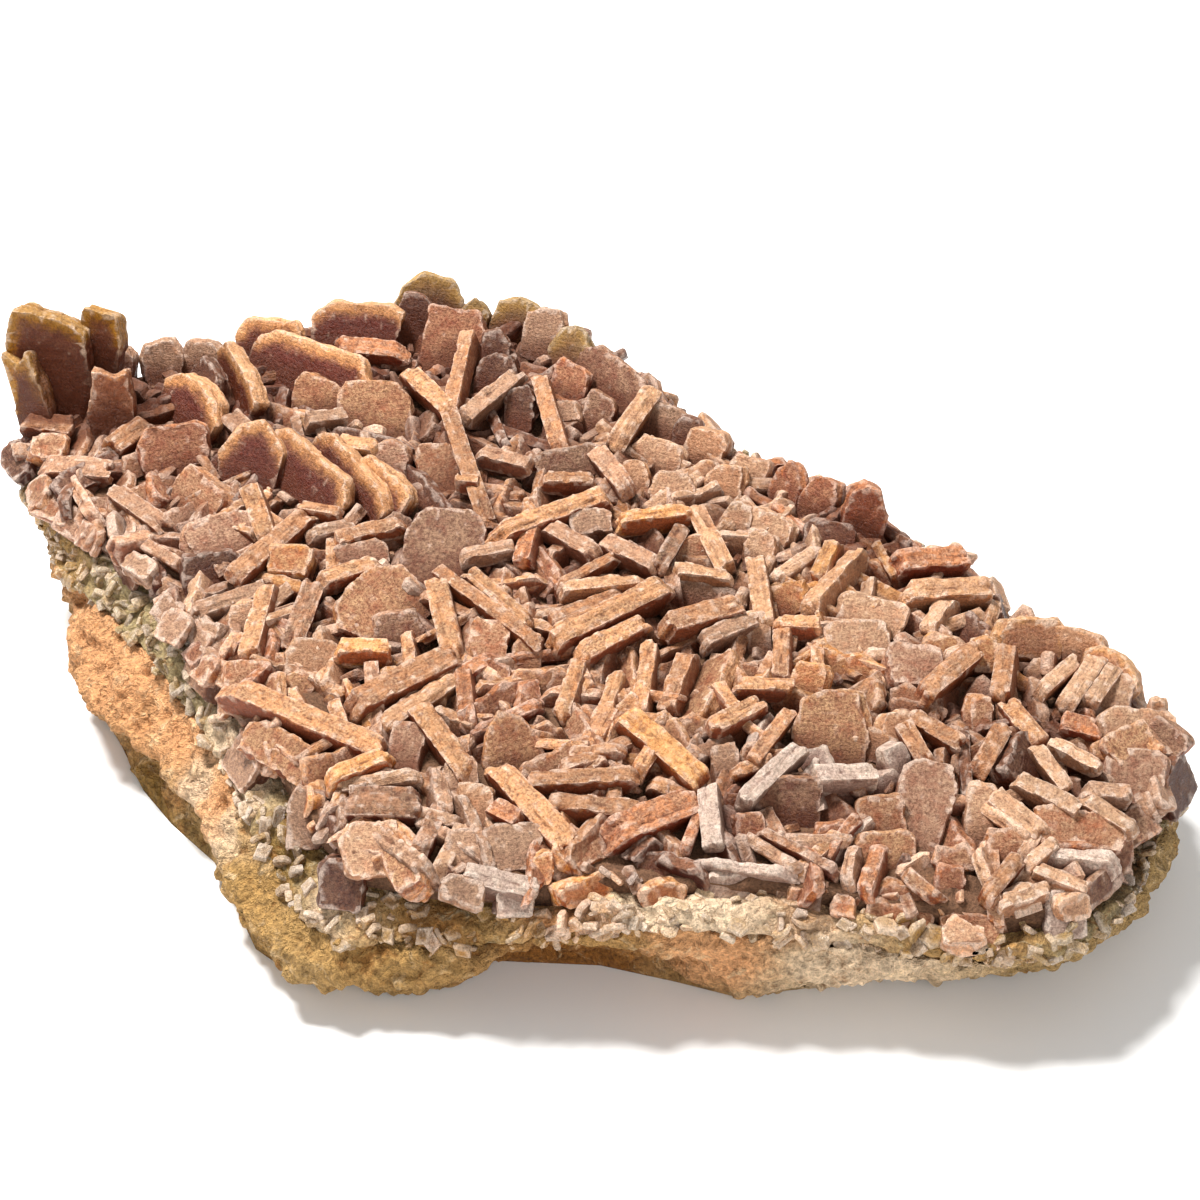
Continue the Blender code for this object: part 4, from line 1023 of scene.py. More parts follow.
@dataclass
class CrystalGroup:
    """The large crystals of one part of the specimen, as one piece."""

    name: str
    rows: Sequence[Crystal]
    seed: int
    keep: float
    voxel_mm: float = 0.75
    broader: float = 1.10
    spacing_mm: float = 140.0
    middle_mm: float = 20.0
    border_mm: float = 2.2
    chip_mm: float = 0.24
    rounding: float = 0.06
    warp: float = 0.06
    taper: float = 0.08
    layer_mm: float = 1.9
    worn_mm: float = 0.35
    step_mm: float = 0.8
    swell_mm: float = 0.20
    pit_mm: float = 0.20
    line_mm: float = 0.20
    crisp_deg: float = 38.0
    plate_mm: float = 15.0

    def corners(self, crystal: Crystal, stand: Stand, chance: np.random.Generator) -> np.ndarray:
        """Corners of a crystal's face in mm, down the plate and along its crest, slightly uneven."""
        shares = np.array(crystal.outline.value) + chance.uniform(-self.warp, self.warp,
                                                                 (len(crystal.outline.value), 2))
        shares = 0.5 + (shares - 0.5) * (1.0 + (self.broader - 1.0) * np.array((0.5, 1.0)))
        return np.stack((shares[:, 1] * stand.width, shares[:, 0] * stand.length), axis=1)

    def worn(self, corners: np.ndarray, inset: float, chance: np.random.Generator) -> np.ndarray:
        """Round off, divide and chip a polygon's border.

        Args:
            corners: The polygon's corners.
            inset: How far the border is drawn in, in mm.
            chance: Source of the chips.

        Returns:
            Points of the border.
        """
        middle = corners.mean(axis=0)
        reach = np.linalg.norm(corners - middle, axis=1, keepdims=True)
        ring = middle + (corners - middle) * np.maximum(0.3, 1.0 - 1.3 * inset / reach)
        after = np.roll(ring, -1, axis=0)
        ring = np.stack((ring + (after - ring) * self.rounding,
                         after + (ring - after) * self.rounding), axis=1).reshape(-1, 2)
        points = []
        for first, last in zip(ring, np.roll(ring, -1, axis=0)):
            count = max(1, int(round(np.linalg.norm(last - first) / self.border_mm)))
            points.extend(first + (last - first) * step / count for step in range(count))
        points = np.array(points)
        chips = chance.normal(0.0, self.chip_mm, points.shape)
        return points + chips + np.roll(chips, 1, axis=0) * 0.8

    def lamellae(self, stand: Stand, corners: np.ndarray,
                 chance: np.random.Generator) -> list[tuple[float, float, np.ndarray]]:
        """Stack a crystal from thinner plates.

        Args:
            stand: How the crystal stands.
            corners: The corners of its face.
            chance: Source of the steps between the plates.

        Returns:
            For each plate its upper and lower level and its border.
        """
        count = max(2, int(round(stand.thick / self.layer_mm)))
        cuts = np.linspace(0.0, 1.0, count + 1)
        cuts[1:-1] += chance.uniform(-0.25, 0.25, count - 1) / count
        middle = corners.mean(axis=0)
        plates = []
        for here in range(count):
            depth = 0.5 * (cuts[here] + cuts[here + 1])
            shift = chance.uniform(-self.step_mm, self.step_mm, 2) * (0.5, 1.3)
            inset = self.worn_mm if here == 0 else chance.uniform(-0.2, self.step_mm)
            shape = middle + (corners - middle) * (1.0 - self.taper * depth) + shift
            top = -cuts[here] * stand.thick + (0.0 if here == 0 else 0.2)
            plates.append((top, -cuts[here + 1] * stand.thick - 0.2, self.worn(shape, inset, chance)))
        return plates

    def rough_mesh(self, faces_of: list[np.ndarray], chance: np.random.Generator,
                   stands: list[Stand]) -> bpy.types.Mesh:
        """All crystals of the group side by side, each lying flat in its own directions.

        Args:
            faces_of: Filled with the corners of each crystal's face.
            chance: Source of their unevenness.
            stands: How each crystal stands.

        Returns:
            A mesh of closed plates, in metres.
        """
        points: list[tuple[float, float, float]] = []
        faces: list[tuple[int, ...]] = []
        for index, crystal in enumerate(self.rows):
            corners = self.corners(crystal, stands[index], chance)
            faces_of.append(corners)
            for top, bottom, ring in self.lamellae(stands[index], corners, chance):
                base = len(points)
                count = len(ring)
                for level in (bottom, top):
                    points.extend(((x + index * self.spacing_mm) * MM, y * MM, level * MM)
                                  for x, y in ring)
                after = np.roll(ring, -1, axis=0)
                area = 0.5 * np.sum(ring[:, 0] * after[:, 1] - ring[:, 1] * after[:, 0])
                order = list(range(count)) if area > 0 else list(range(count - 1, -1, -1))
                faces.append(tuple(base + step for step in reversed(order)))
                faces.append(tuple(base + count + step for step in order))
                for place in range(count):
                    here, after = order[place], order[(place + 1) % count]
                    faces.append((base + here, base + after, base + count + after, base + count + here))
        mesh = bpy.data.meshes.new("plates")
        mesh.from_pydata(points, [], faces)
        return mesh

    def build(self, finish: bpy.types.Material) -> bpy.types.Object:
        """Make the group's mesh with the values its finish reads.

        Args:
            finish: Material of the crystals.

        Returns:
            The piece.
        """
        chance = np.random.default_rng(self.seed)
        stands = [stand_of(crystal) for crystal in self.rows]
        outlines: list[np.ndarray] = []
        rough = self.rough_mesh(outlines, chance, stands)
        fine = shaped(rough, "REMESH", {"mode": "VOXEL", "voxel_size": self.voxel_mm * MM})
        points, normals, _ = read_mesh(fine)
        spots = points / MM
        relief = self.swell_mm * layered_noise(spots, 9.0, self.seed, 2)
        relief += self.pit_mm * lattice_noise(spots, 2.0, self.seed + 5)
        relief += self.line_mm * lattice_noise(spots, (16.0, 16.0, 1.1), self.seed + 9)
        points += normals * relief[:, None] * MM
        fine.vertices.foreach_set("co", points.astype(np.float32).ravel())
        fine = shaped(fine, "DECIMATE", {"ratio": self.keep})
        points, normals, faces = read_mesh(fine)
        bpy.data.meshes.remove(fine)
        ridge = bulge(points, normals, faces) / MM
        spots = points / MM
        owner = np.round((spots[:, 0] - self.middle_mm) / self.spacing_mm).astype(int)
        owner = np.clip(owner, 0, len(self.rows) - 1)
        spots[:, 0] -= owner * self.spacing_mm
        rim = np.empty(len(spots))
        for index, corners in enumerate(outlines):
            mine = owner == index
            lowest = 0.45 * corners[:, 0].max() if corners[:, 0].max() > self.plate_mm else FAR_MM
            rim[mine] = border_distance(spots[mine, :2], corners, lowest)
        starts = np.array([stand.start for stand in stands])
        turns = np.array([stand.turn for stand in stands])
        placed = starts[owner] + np.einsum("ij,ijk->ik", spots, turns[owner])
        tints = [crystal.tint for crystal in self.rows]
        colours = tinted(tints, chance.uniform(0.85, 1.15, (len(tints), 1)))
        traits = np.array([(tint.value.rim_mm, tint.value.dust_share) for tint in tints])
        # Depth under the crest, for the painted shade in the gaps
        drop = crest_height(placed[:, 0], placed[:, 1]) - placed[:, 2]
        values = {key: shade[owner] for key, shade in colours.items()} | {
            "lay": spots + owner[:, None] * np.array((37.0, 11.0, 23.0)),
            "traits": np.column_stack((traits[owner], ridge)),
            "depths": np.stack((rim, drop, -spots[:, 2]), axis=1),
        }
        item = make_piece(self.name, to_world(placed), faces, values, finish)
        item.data.set_sharp_from_angle(angle=math.radians(self.crisp_deg))
        LOG.info("%s: %d crystals, %d triangles", self.name, len(self.rows), len(faces))
        return item


# Bed, crust and rock


class Tone(Enum):
    """Tones of the rock and the crust, named for what gives them, as sRGB hex.
    OLIVE also stands for painted shade under the left ledge.
    """

    CREAM = "E0C4A4"
    PEACH = "D89C6C"
    OCHRE = "B08850"
    RUST = "905820"
    OLIVE = "806028"
    UMBER = "483018"


class Patch(NamedTuple):
    """A place on the stone with a tone of its own."""

    x: float
    y: float
    z: float
    reach: float
    tone: Tone


CRUST_PATCHES = (
    Patch(-190, 24, 47, 20, Tone.OCHRE),
    Patch(-112, -86, 38, 18, Tone.CREAM),
    Patch(-92, -124, 34, 18, Tone.OLIVE),
    Patch(-80, -145, 33, 14, Tone.CREAM),
    Patch(-64, -150, 38, 18, Tone.OCHRE),
    Patch(-50, -151, 31, 12, Tone.RUST),
    Patch(-30, -153, 38, 18, Tone.OCHRE),
    Patch(-12, -154, 40, 14, Tone.PEACH),
    Patch(28, -156, 40, 30, Tone.CREAM),
    Patch(58, -156, 43, 14, Tone.RUST),
    Patch(66, -160, 33, 16, Tone.CREAM),
    Patch(84, -159, 41, 14, Tone.OCHRE),
    Patch(100, -163, 35, 22, Tone.OCHRE),
    Patch(108, -161, 45, 14, Tone.RUST),
    Patch(155, -130, 48, 22, Tone.UMBER),
    Patch(168, -104, 54, 16, Tone.OLIVE),
)
ROCK_PATCHES = (
    Patch(-172, -5, 36, 26, Tone.PEACH),
    Patch(-155, -38, 34, 26, Tone.PEACH),
    Patch(-136, -58, 34, 20, Tone.PEACH),
    Patch(-127, -80, 25, 9, Tone.CREAM),
    Patch(-118, -92, 31, 14, Tone.PEACH),
    # Painted shade: dark olive on the wall in the shadow under the left ledge
    Patch(-150, -56, 4, 24, Tone.OLIVE),
    Patch(-114, -104, 24, 10, Tone.CREAM),
    Patch(-106, -126, 14, 24, Tone.OCHRE),
    Patch(-64, -152, 24, 20, Tone.OCHRE),
    # The recess under the front lip, darker brown
    Patch(-12, -140, 9, 26, Tone.RUST),
    Patch(0, -156, 34, 16, Tone.OCHRE),
    Patch(30, -158, 25, 18, Tone.PEACH),
    Patch(78, -160, 28, 24, Tone.CREAM),
)


def painted(points_mm: np.ndarray, ground: str, patches: Sequence[Patch], seed: int) -> np.ndarray:
    """Colour points by the patches near them.

    Args:
        points_mm: Positions in mm on the specimen.
        ground: Colour away from all patches.
        patches: The patches.
        seed: Picks how ragged their borders are.

    Returns:
        One linear colour a point.
    """
    wobble = np.zeros_like(points_mm)
    for size, reach, first in ((11.0, 6.0, seed), (4.0, 2.5, seed + 9)):
        for axis in range(3):
            wobble[:, axis] += lattice_noise(points_mm, size, first + axis) * reach
    weights = np.full(len(points_mm), 0.12)
    total = weights[:, None] * np.array(linear(ground))
    for patch in patches:
        offset = np.linalg.norm(points_mm + wobble - np.array(patch[:3]), axis=1) / patch.reach
        weight = np.exp(-offset ** 2 * 1.6)
        weights = weights + weight
        total = total + weight[:, None] * np.array(linear(patch.tone.value))
    return total / weights[:, None]


# A face counts as part of a wall while its normal is no steeper than this
WALL_NORMAL_Z = 0.975
MOST_DIVISIONS = 6


def is_ledge(spot: Vector) -> bool:
    """Whether a point in metres lies off the sole and outside the foot of the crystals."""
    plan = np.array(spot[:2]) / MM + ORIGIN_MM[:2]
    return spot.z > 3.0 * MM and not inside(HEART_MM + (plan - HEART_MM) / 0.97, BED_EDGE)


def refined_copy(node: str, edge_mm: float, smooth_rounds: int) -> bpy.types.Mesh:
    """Copy a CAD node and divide its walls finely.

    Args:
        node: The node's name.
        edge_mm: Longest edge left on the walls.
        smooth_rounds: How often the walls are smoothed.

    Returns:
        The new mesh.
    """
    builder = bmesh.new()
    builder.from_mesh(frame["nodes"][node].data)
    bmesh.ops.remove_doubles(builder, verts=builder.verts, dist=1e-5)
    bmesh.ops.dissolve_degenerate(builder, edges=builder.edges, dist=1e-6)
    for _ in range(MOST_DIVISIONS):
        builder.normal_update()
        long = {edge for face in builder.faces if abs(face.normal.z) < WALL_NORMAL_Z
                for edge in face.edges if edge.calc_length() > edge_mm * MM}
        long |= {edge for edge in builder.edges if edge.calc_length() > edge_mm * MM
                 and is_ledge((edge.verts[0].co + edge.verts[1].co) / 2)}
        if not long:
            break
        bmesh.ops.subdivide_edges(builder, edges=list(long), cuts=1)
        bmesh.ops.triangulate(builder, faces=[face for face in builder.faces if len(face.verts) > 3])
    loose = [vert for vert in builder.verts
             if vert.co.z > 0.2 * MM and any(abs(face.normal.z) < WALL_NORMAL_Z
                                             for face in vert.link_faces)]
    for _ in range(smooth_rounds):
        bmesh.ops.smooth_vert(builder, verts=loose, factor=0.5, use_axis_x=True, use_axis_y=True,
                              use_axis_z=True)
    builder.normal_update()
    mesh = bpy.data.meshes.new(node + "_fine")
    builder.to_mesh(mesh)
    builder.free()
    return mesh


@dataclass
class StoneSkin:
    """A stone layer of the specimen: a CAD node's shape with weathered walls."""

    name: str
    node: str
    ground: str
    patches: Sequence[Patch]
    seed: int
    edge_mm: float = 1.6
    smooth_rounds: int = 10
    lump_mm: float = 14.0
    lump_depth_mm: float = 1.6
    grain_depth_mm: float = 2.2
    bedding_depth_mm: float = 0.9

    def build(self, finish: bpy.types.Material) -> bpy.types.Object:
        """Make the layer.

        Args:
            finish: Material of the stone.

        Returns:
            The piece.
        """
        mesh = refined_copy(self.node, self.edge_mm, self.smooth_rounds)
        points, normals, faces = read_mesh(mesh)
        bpy.data.meshes.remove(mesh)
        spots = points / MM + ORIGIN_MM
        depth = self.lump_depth_mm * layered_noise(spots, self.lump_mm, self.seed, 3)
        depth += self.grain_depth_mm * layered_noise(spots, 4.5, self.seed + 4, 3)
        depth += self.bedding_depth_mm * lattice_noise(spots, (22.0, 22.0, 3.2), self.seed + 7)
        rise = np.clip(spots[:, 2] / 4.0, 0.0, 1.0)
        moved = spots + normals * (depth * rise)[:, None]
        moved[:, 2] = np.maximum(moved[:, 2], 0.0)
        tone = painted(moved, self.ground, self.patches, self.seed)
        item = make_piece(self.name, to_world(moved), faces, {"tone": tone}, finish)
        LOG.info("%s: %d triangles", self.name, len(faces))
        return item


@dataclass
class CrystalBed:
    """The bed that the crystals are rooted in, painted dark brown as the shade deep between them."""

    name: str = "crystal_bed"
    top_depth_mm: float = 6.0
    floor_depth_mm: float = 16.0
    rings: int = 66
    spokes: int = 330
    reach_share: float = 0.955
    lump_depth_mm: float = 1.6
    lump_sink_mm: float = 1.5
    # Painted shade: a dark brown for the shade deep between the crystals
    colour: str = "6A4C38"

    def build(self, finish: bpy.types.Material) -> bpy.types.Object:
        """Make the bed as a closed disc of rings round its heart.

        Args:
            finish: Material of the bed.

        Returns:
            The piece.
        """
        around = np.linspace(0.0, len(BED_EDGE), self.spokes, endpoint=False)
        index = around.astype(int)
        share = (around - index)[:, None]
        border = BED_EDGE[index] * (1.0 - share) + np.roll(BED_EDGE, -1, axis=0)[index] * share
        border = HEART_MM + (border - HEART_MM) * self.reach_share
        scales = np.linspace(1.0, 0.0, self.rings, endpoint=False)
        plan = (HEART_MM + (border - HEART_MM)[None] * scales[:, None, None]).reshape(-1, 2)
        plan = np.vstack((plan, HEART_MM, border, HEART_MM))
        levels = crest_height(plan[:, 0], plan[:, 1])
        top = self.rings * self.spokes + 1
        levels[:top] -= self.top_depth_mm
        levels[top:] -= self.floor_depth_mm
        spots = np.column_stack((plan, levels))
        lumps = self.lump_depth_mm * layered_noise(spots[:top], 9.0, 71, 4)
        spots[:top, 2] += lumps - self.lump_sink_mm
        here = np.arange(self.spokes)
        after = (here + 1) % self.spokes
        corners = []
        for low in range(0, (self.rings - 1) * self.spokes, self.spokes):
            high = low + self.spokes
            corners += [(low + here, low + after, high + after),
                        (low + here, high + after, high + here)]
        last = (self.rings - 1) * self.spokes
        corners += [(last + here, last + after, np.full(self.spokes, top - 1)),
                    (top + after, top + here, np.full(self.spokes, len(plan) - 1)),
                    (here, top + here, top + after), (here, top + after, after)]
        faces = np.vstack([np.stack(three, axis=1) for three in corners])
        tone = np.repeat(np.array([linear(self.colour)]), len(plan), axis=0)
        item = make_piece(self.name, to_world(spots), faces, {"tone": tone}, finish)
        LOG.info("%s: %d triangles", self.name, len(item.data.polygons))
        return item


# What repeats: small blades, chips and grains, placed by geometry nodes


class Template(NamedTuple):
    """A small crystal of unit length that is scattered many times."""

    outline: Outline
    width: float
    thick: float


def template_object(name: str, template: Template, bevel: float = 0.07) -> bpy.types.Object:
    """Make a small crystal of unit length, standing on one end.

    Args:
        name: Name of the object.
        template: Its shape.
        bevel: Width of the worn edge.

    Returns:
        An object of a few dozen faces, with its own coordinates stored on its points.
    """
    ring = np.array(template.outline.value) * (1.0, template.width) - (0.4, template.width / 2)
    middle = ring.mean(axis=0)
    inner = middle + (ring - middle) * (1.0 - 2.2 * bevel)
    count = len(ring)
    half = template.thick / 2
    points = []
    for plan, level in ((ring, -half + bevel), (ring, half - bevel), (inner, half)):
        points.extend((y, level, x) for x, y in plan)
    points.extend((y, -half, x) for x, y in inner)
    points.append((middle[1], half, middle[0]))
    points.append((middle[1], -half, middle[0]))
    faces = []
    for here in range(count):
        after = (here + 1) % count
        faces.append((here, after, count + after, count + here))
        faces.append((count + here, count + after, 2 * count + after, 2 * count + here))
        faces.append((3 * count + here, 3 * count + after, after, here))
        faces.append((2 * count + here, 2 * count + after, 4 * count))
        faces.append((3 * count + after, 3 * count + here, 4 * count + 1))
    mesh = bpy.data.meshes.new(name)
    mesh.from_pydata(points, [], faces)
    builder = bmesh.new()
    builder.from_mesh(mesh)
    bmesh.ops.recalc_face_normals(builder, faces=builder.faces)
    builder.to_mesh(mesh)
    builder.free()
    unit = mesh.attributes.new("unit", "FLOAT_VECTOR", "POINT")
    unit.data.foreach_set("vector", np.array(points, np.float32).ravel())
    rim = mesh.attributes.new("inward", "FLOAT", "POINT")
    rim.data.foreach_set("value", np.repeat((0.0, bevel, template.width / 2),
                                            (2 * count, 2 * count, 2)).astype(np.float32))
    return bpy.data.objects.new(name, mesh)


def scatter_tree() -> bpy.types.NodeTree:
    """Build the node tree that scatters small crystals over a surface.

    Returns:
        A tree with inputs for the number, sizes, lean and depth of what it places.
    """
    tree = bpy.data.node_groups.new("scatter_small_crystals", "GeometryNodeTree")
    sockets = {"Surface": "Geometry", "Templates": "Collection", "Number per m2": "Float",
               "Shortest": "Float", "Longest": "Float", "Least lean": "Float", "Most lean": "Float",
               "Sink": "Float", "Follow surface": "Bool", "Cover": "Object", "Cover height": "Float",
               "Finish": "Material", "Seed": "Int"}
    for label, kind in sockets.items():
        tree.interface.new_socket(label, in_out="INPUT", socket_type="NodeSocket" + kind)
    tree.interface.new_socket("Crystals", in_out="OUTPUT", socket_type="NodeSocketGeometry")
    add = partial(add_node, tree)
    chance, join = "FunctionNodeRandomValue", "ShaderNodeCombineXYZ"
    to_turn = "FunctionNodeEulerToRotation"
    given = add("NodeGroupInput").outputs
    seed = given["Seed"]

    # Points on the surface with nothing over them, sunk a little
    spread = add("GeometryNodeDistributePointsOnFaces",
                 {"Mesh": given["Surface"], "Density": given["Number per m2"], "Seed": seed})
    cover = add("GeometryNodeObjectInfo", {"Object": given["Cover"]})
    hit = add("GeometryNodeRaycast",
              {"Target Geometry": cover.outputs["Geometry"],
               "Source Position": add("GeometryNodeInputPosition"),
               "Ray Direction": (0.0, 0.0, 1.0), "Ray Length": given["Cover height"]})
    points = add("GeometryNodeDeleteGeometry", {"Geometry": spread, "Selection": hit}, domain="POINT")
    lowest = add(MATH, {0: given["Sink"], 1: -1.0}, operation="MULTIPLY")
    drop = add(chance, {2: lowest, 3: given["Sink"], 8: seed}, data_type="FLOAT")
    points = add("GeometryNodeSetPosition", {"Geometry": points, "Offset": add(join, {"Z": drop})})

    # Each leans away from upright, or from the surface, and is rolled about its length
    lean = add(chance, {0: add(join, {0: given["Least lean"]}),
                        1: add(join, {0: given["Most lean"], 2: FULL_TURN}), 8: seed},
               data_type="FLOAT_VECTOR")
    roll = add(chance, {0: (0.0, 0.0, 0.0), 1: (0.0, 0.0, FULL_TURN), 8: 5}, data_type="FLOAT_VECTOR")
    turned = add("GeometryNodeSwitch",
                 {0: given["Follow surface"], 1: add(to_turn, {0: (0.0, 0.0, 0.0)}),
                  2: spread.outputs["Rotation"]}, input_type="ROTATION")
    for angles in (lean, roll):
        turned = add("FunctionNodeRotateRotation", {0: turned, 1: add(to_turn, {0: angles})},
                     rotation_space="LOCAL")

    # The crystals, with the length and number of each stored on it
    size = add(chance, {2: given["Shortest"], 3: given["Longest"], 8: seed}, data_type="FLOAT")
    kinds = add("GeometryNodeCollectionInfo",
                {"Collection": given["Templates"], "Separate Children": True, "Reset Children": True})
    placed = add("GeometryNodeInstanceOnPoints",
                 {"Points": points, "Instance": kinds, "Pick Instance": True, "Rotation": turned,
                  "Scale": size})
    number = add("GeometryNodeInputIndex")
    for label, value, kind in (("length", size, "FLOAT"), ("number", number, "INT")):
        placed = add("GeometryNodeStoreNamedAttribute",
                     {"Geometry": placed, "Name": label, "Value": value}, data_type=kind,
                     domain="INSTANCE")
    solid = add("GeometryNodeRealizeInstances", {"Geometry": placed})
    dressed = add("GeometryNodeSetMaterial", {"Geometry": solid, "Material": given["Finish"]})
    add("NodeGroupOutput", {0: dressed})
    return tree


def stored_values(mesh: bpy.types.Mesh, name: str, part: str, width: int = 1,
                  kind: type = np.float32) -> np.ndarray:
    """Read a point attribute.

    Args:
        mesh: The mesh.
        name: The attribute's name.
        part: Where its values are kept: value, vector or color.
        width: Numbers a point.
        kind: Their type.

    Returns:
        One number a point, or one row.
    """
    values = np.empty(len(mesh.vertices) * width, kind)
    mesh.attributes[name].data.foreach_get(part, values)
    return values.reshape(-1, width) if width > 1 else values


@dataclass
class SmallCrystals:
    """Many small crystals scattered over a surface, as one piece."""

    name: str
    templates: Sequence[Template]
    tints: Sequence[Tint]
    per_m2: float
    shortest_mm: float
    longest_mm: float
    lean_deg: tuple[float, float]
    sink_mm: float
    seed: int
    follow: bool = False
    cover_height_mm: float = 60.0
    # How much of the painted shade in the gaps the small crystals take
    gap_shade_share: float = 1.0
    tone_share: float = 0.6
    pit_mm: float = 0.25

    def scattered(self, surface: bpy.types.Mesh, cover: bpy.types.Object,
                  finish: bpy.types.Material) -> bpy.types.Mesh:
        """Run the node tree on a surface.

        Args:
            surface: Where the crystals grow.
            cover: Object that hides points under it.
            finish: Their material.

        Returns:
            A plain mesh of all of them.
        """
        tree = bpy.data.node_groups.get("scatter_small_crystals") or scatter_tree()
        kinds = bpy.data.collections.new(self.name + "_kinds")
        for index, template in enumerate(self.templates):
            kinds.objects.link(template_object(f"{self.name}_kind_{index}", template))
        helper = new_object(self.name + "_helper", surface)
        modifier = helper.modifiers.new("scatter", "NODES")
        modifier.node_group = tree
        inputs = {"Templates": kinds, "Number per m2": self.per_m2, "Shortest": self.shortest_mm * MM,
                  "Longest": self.longest_mm * MM, "Least lean": math.radians(self.lean_deg[0]),
                  "Most lean": math.radians(self.lean_deg[1]), "Sink": self.sink_mm * MM,
                  "Follow surface": self.follow, "Cover": cover,
                  "Cover height": self.cover_height_mm * MM, "Finish": finish, "Seed": self.seed}
        keys = {socket.name: socket.identifier for socket in tree.interface.items_tree
                if socket.in_out == "INPUT"}
        for label, value in inputs.items():
            modifier[keys[label]] = value
        mesh = applied(helper)
        for item in list(kinds.objects):
            bpy.data.objects.remove(item)
        bpy.data.collections.remove(kinds)
        return mesh

    def build(self, surface: bpy.types.Mesh, cover: bpy.types.Object,
              finish: bpy.types.Material) -> bpy.types.Object:
        """Make the piece and store the values that its finish reads.

        Args:
            surface: Where the crystals grow.
            cover: Object that hides points under it.
            finish: Their material.

        Returns:
            The piece.
        """
        mesh = self.scattered(surface, cover, finish)
        points, normals, faces = read_mesh(mesh)
        length_mm = stored_values(mesh, "length", "value") / MM
        local = stored_values(mesh, "unit", "vector", 3) * length_mm[:, None]
        inward = stored_values(mesh, "inward", "value")
        number = stored_values(mesh, "number", "value", kind=np.int32)
        tone = stored_values(mesh, "tone", "color", 4) if self.follow else None
        bpy.data.meshes.remove(mesh)
        chance = np.random.default_rng(self.seed)
        bright = chance.uniform(0.75, 1.2, (number.max() + 1, 1))
        tints = [self.tints[pick] for pick in chance.integers(0, len(self.tints), len(bright))]
        colours = {key: shade[number] for key, shade in tinted(tints, bright).items()}
        if tone is not None:
            colours = {key: self.tone_share * tone * bright[number] + (1.0 - self.tone_share) * shade
                       for key, shade in colours.items()}
        spots = points / MM + ORIGIN_MM
        spots += normals * (self.pit_mm * lattice_noise(spots, 2.2, self.seed))[:, None]
        offset = number[:, None] * np.array((13.0, 7.0, 29.0)) % 997.0
        traits = np.array([(tint.value.rim_mm * 0.5, tint.value.dust_share) for tint in tints])
        # Depth under the crest, for the painted shade in the gaps
        drop = crest_height(spots[:, 0], spots[:, 1]) - spots[:, 2]
        values = colours | {
            "lay": local[:, (0, 2, 1)] + offset,
            "traits": np.column_stack((traits[number], bulge(spots, normals, faces) * 0.25)),
            "depths": np.stack((inward * length_mm, drop * self.gap_shade_share, local[:, 1]), axis=1),
        }
        item = make_piece(self.name, to_world(spots), faces, values, finish)
        item.data.polygons.foreach_set("use_smooth", np.zeros(len(faces), bool))
        LOG.info("%s: %d small crystals, %d triangles", self.name, number.max() + 1, len(faces))
        return item


def surface_part(item: bpy.types.Object,
                 keep: Callable[[np.ndarray, np.ndarray], np.ndarray]) -> bpy.types.Mesh:
    """Copy the faces of a piece that pass a test.

    Args:
        item: The piece.
        keep: Called with the faces' middles in mm and their normals; gives True for each to keep.

    Returns:
        A mesh of those faces.
    """
    mesh = item.data.copy()
    builder = bmesh.new()
    builder.from_mesh(mesh)
    builder.faces.ensure_lookup_table()
    middles = np.array([face.calc_center_median() for face in builder.faces]) / MM + ORIGIN_MM
    normals = np.array([face.normal for face in builder.faces])
    flags = keep(middles, normals)
    bmesh.ops.delete(builder, geom=[face for face in builder.faces if not flags[face.index]],
                     context="FACES")
    builder.to_mesh(mesh)
    builder.free()
    return mesh


# Floor, light and camera


@dataclass(frozen=True)
class FloorFinish:
    """Matt white studio board, so smooth that it shows nothing but soft shadow."""

    name: str = "studio_board_white"
    colour: str = "F6F5F3"
    grain_mm: float = 1.5
    bump_mm: float = 0.05
    roughness: float = 0.9

    def material(self) -> bpy.types.Material:
        """Build the material with a faint paper grain."""
        made, tree, shader = new_material(self.name)
        place = add_node(tree, "ShaderNodeTexCoord").outputs["Object"]
        grain = add_node(tree, NOISE, {"Vector": place, "Scale": 1.0 / (self.grain_mm * MM),
                                       "Detail": 2.0})
        bump = add_node(tree, "ShaderNodeBump",
                        {"Height": grain, "Strength": 0.1, "Distance": self.bump_mm * MM})
        set_inputs(tree, shader, {"Base Color": linear(self.colour), "Normal": bump,
                                  "Roughness": self.roughness})
        return made


def aimed(item: bpy.types.Object, place: Vector, target: Vector) -> bpy.types.Object:
    """Put a lamp or a camera in its place and point it at a target, both in metres."""
    item.location = place
    item.rotation_euler = (target - place).to_track_quat("-Z", "Y").to_euler()
    return item


@dataclass
class Lamp:
    """A soft area lamp aimed at the specimen."""

    name: str
    place_m: tuple[float, float, float]
    size_m: float
    power_w: float
    aim_m: tuple[float, float, float] = (0.0, 0.0, 0.04)

    def build(self) -> bpy.types.Object:
        """Hang the lamp."""
        data = bpy.data.lights.new(self.name, "AREA")
        data.shape = "DISK"
        data.size = self.size_m
        data.energy = self.power_w
        return aimed(new_object(self.name, data), Vector(self.place_m), Vector(self.aim_m))


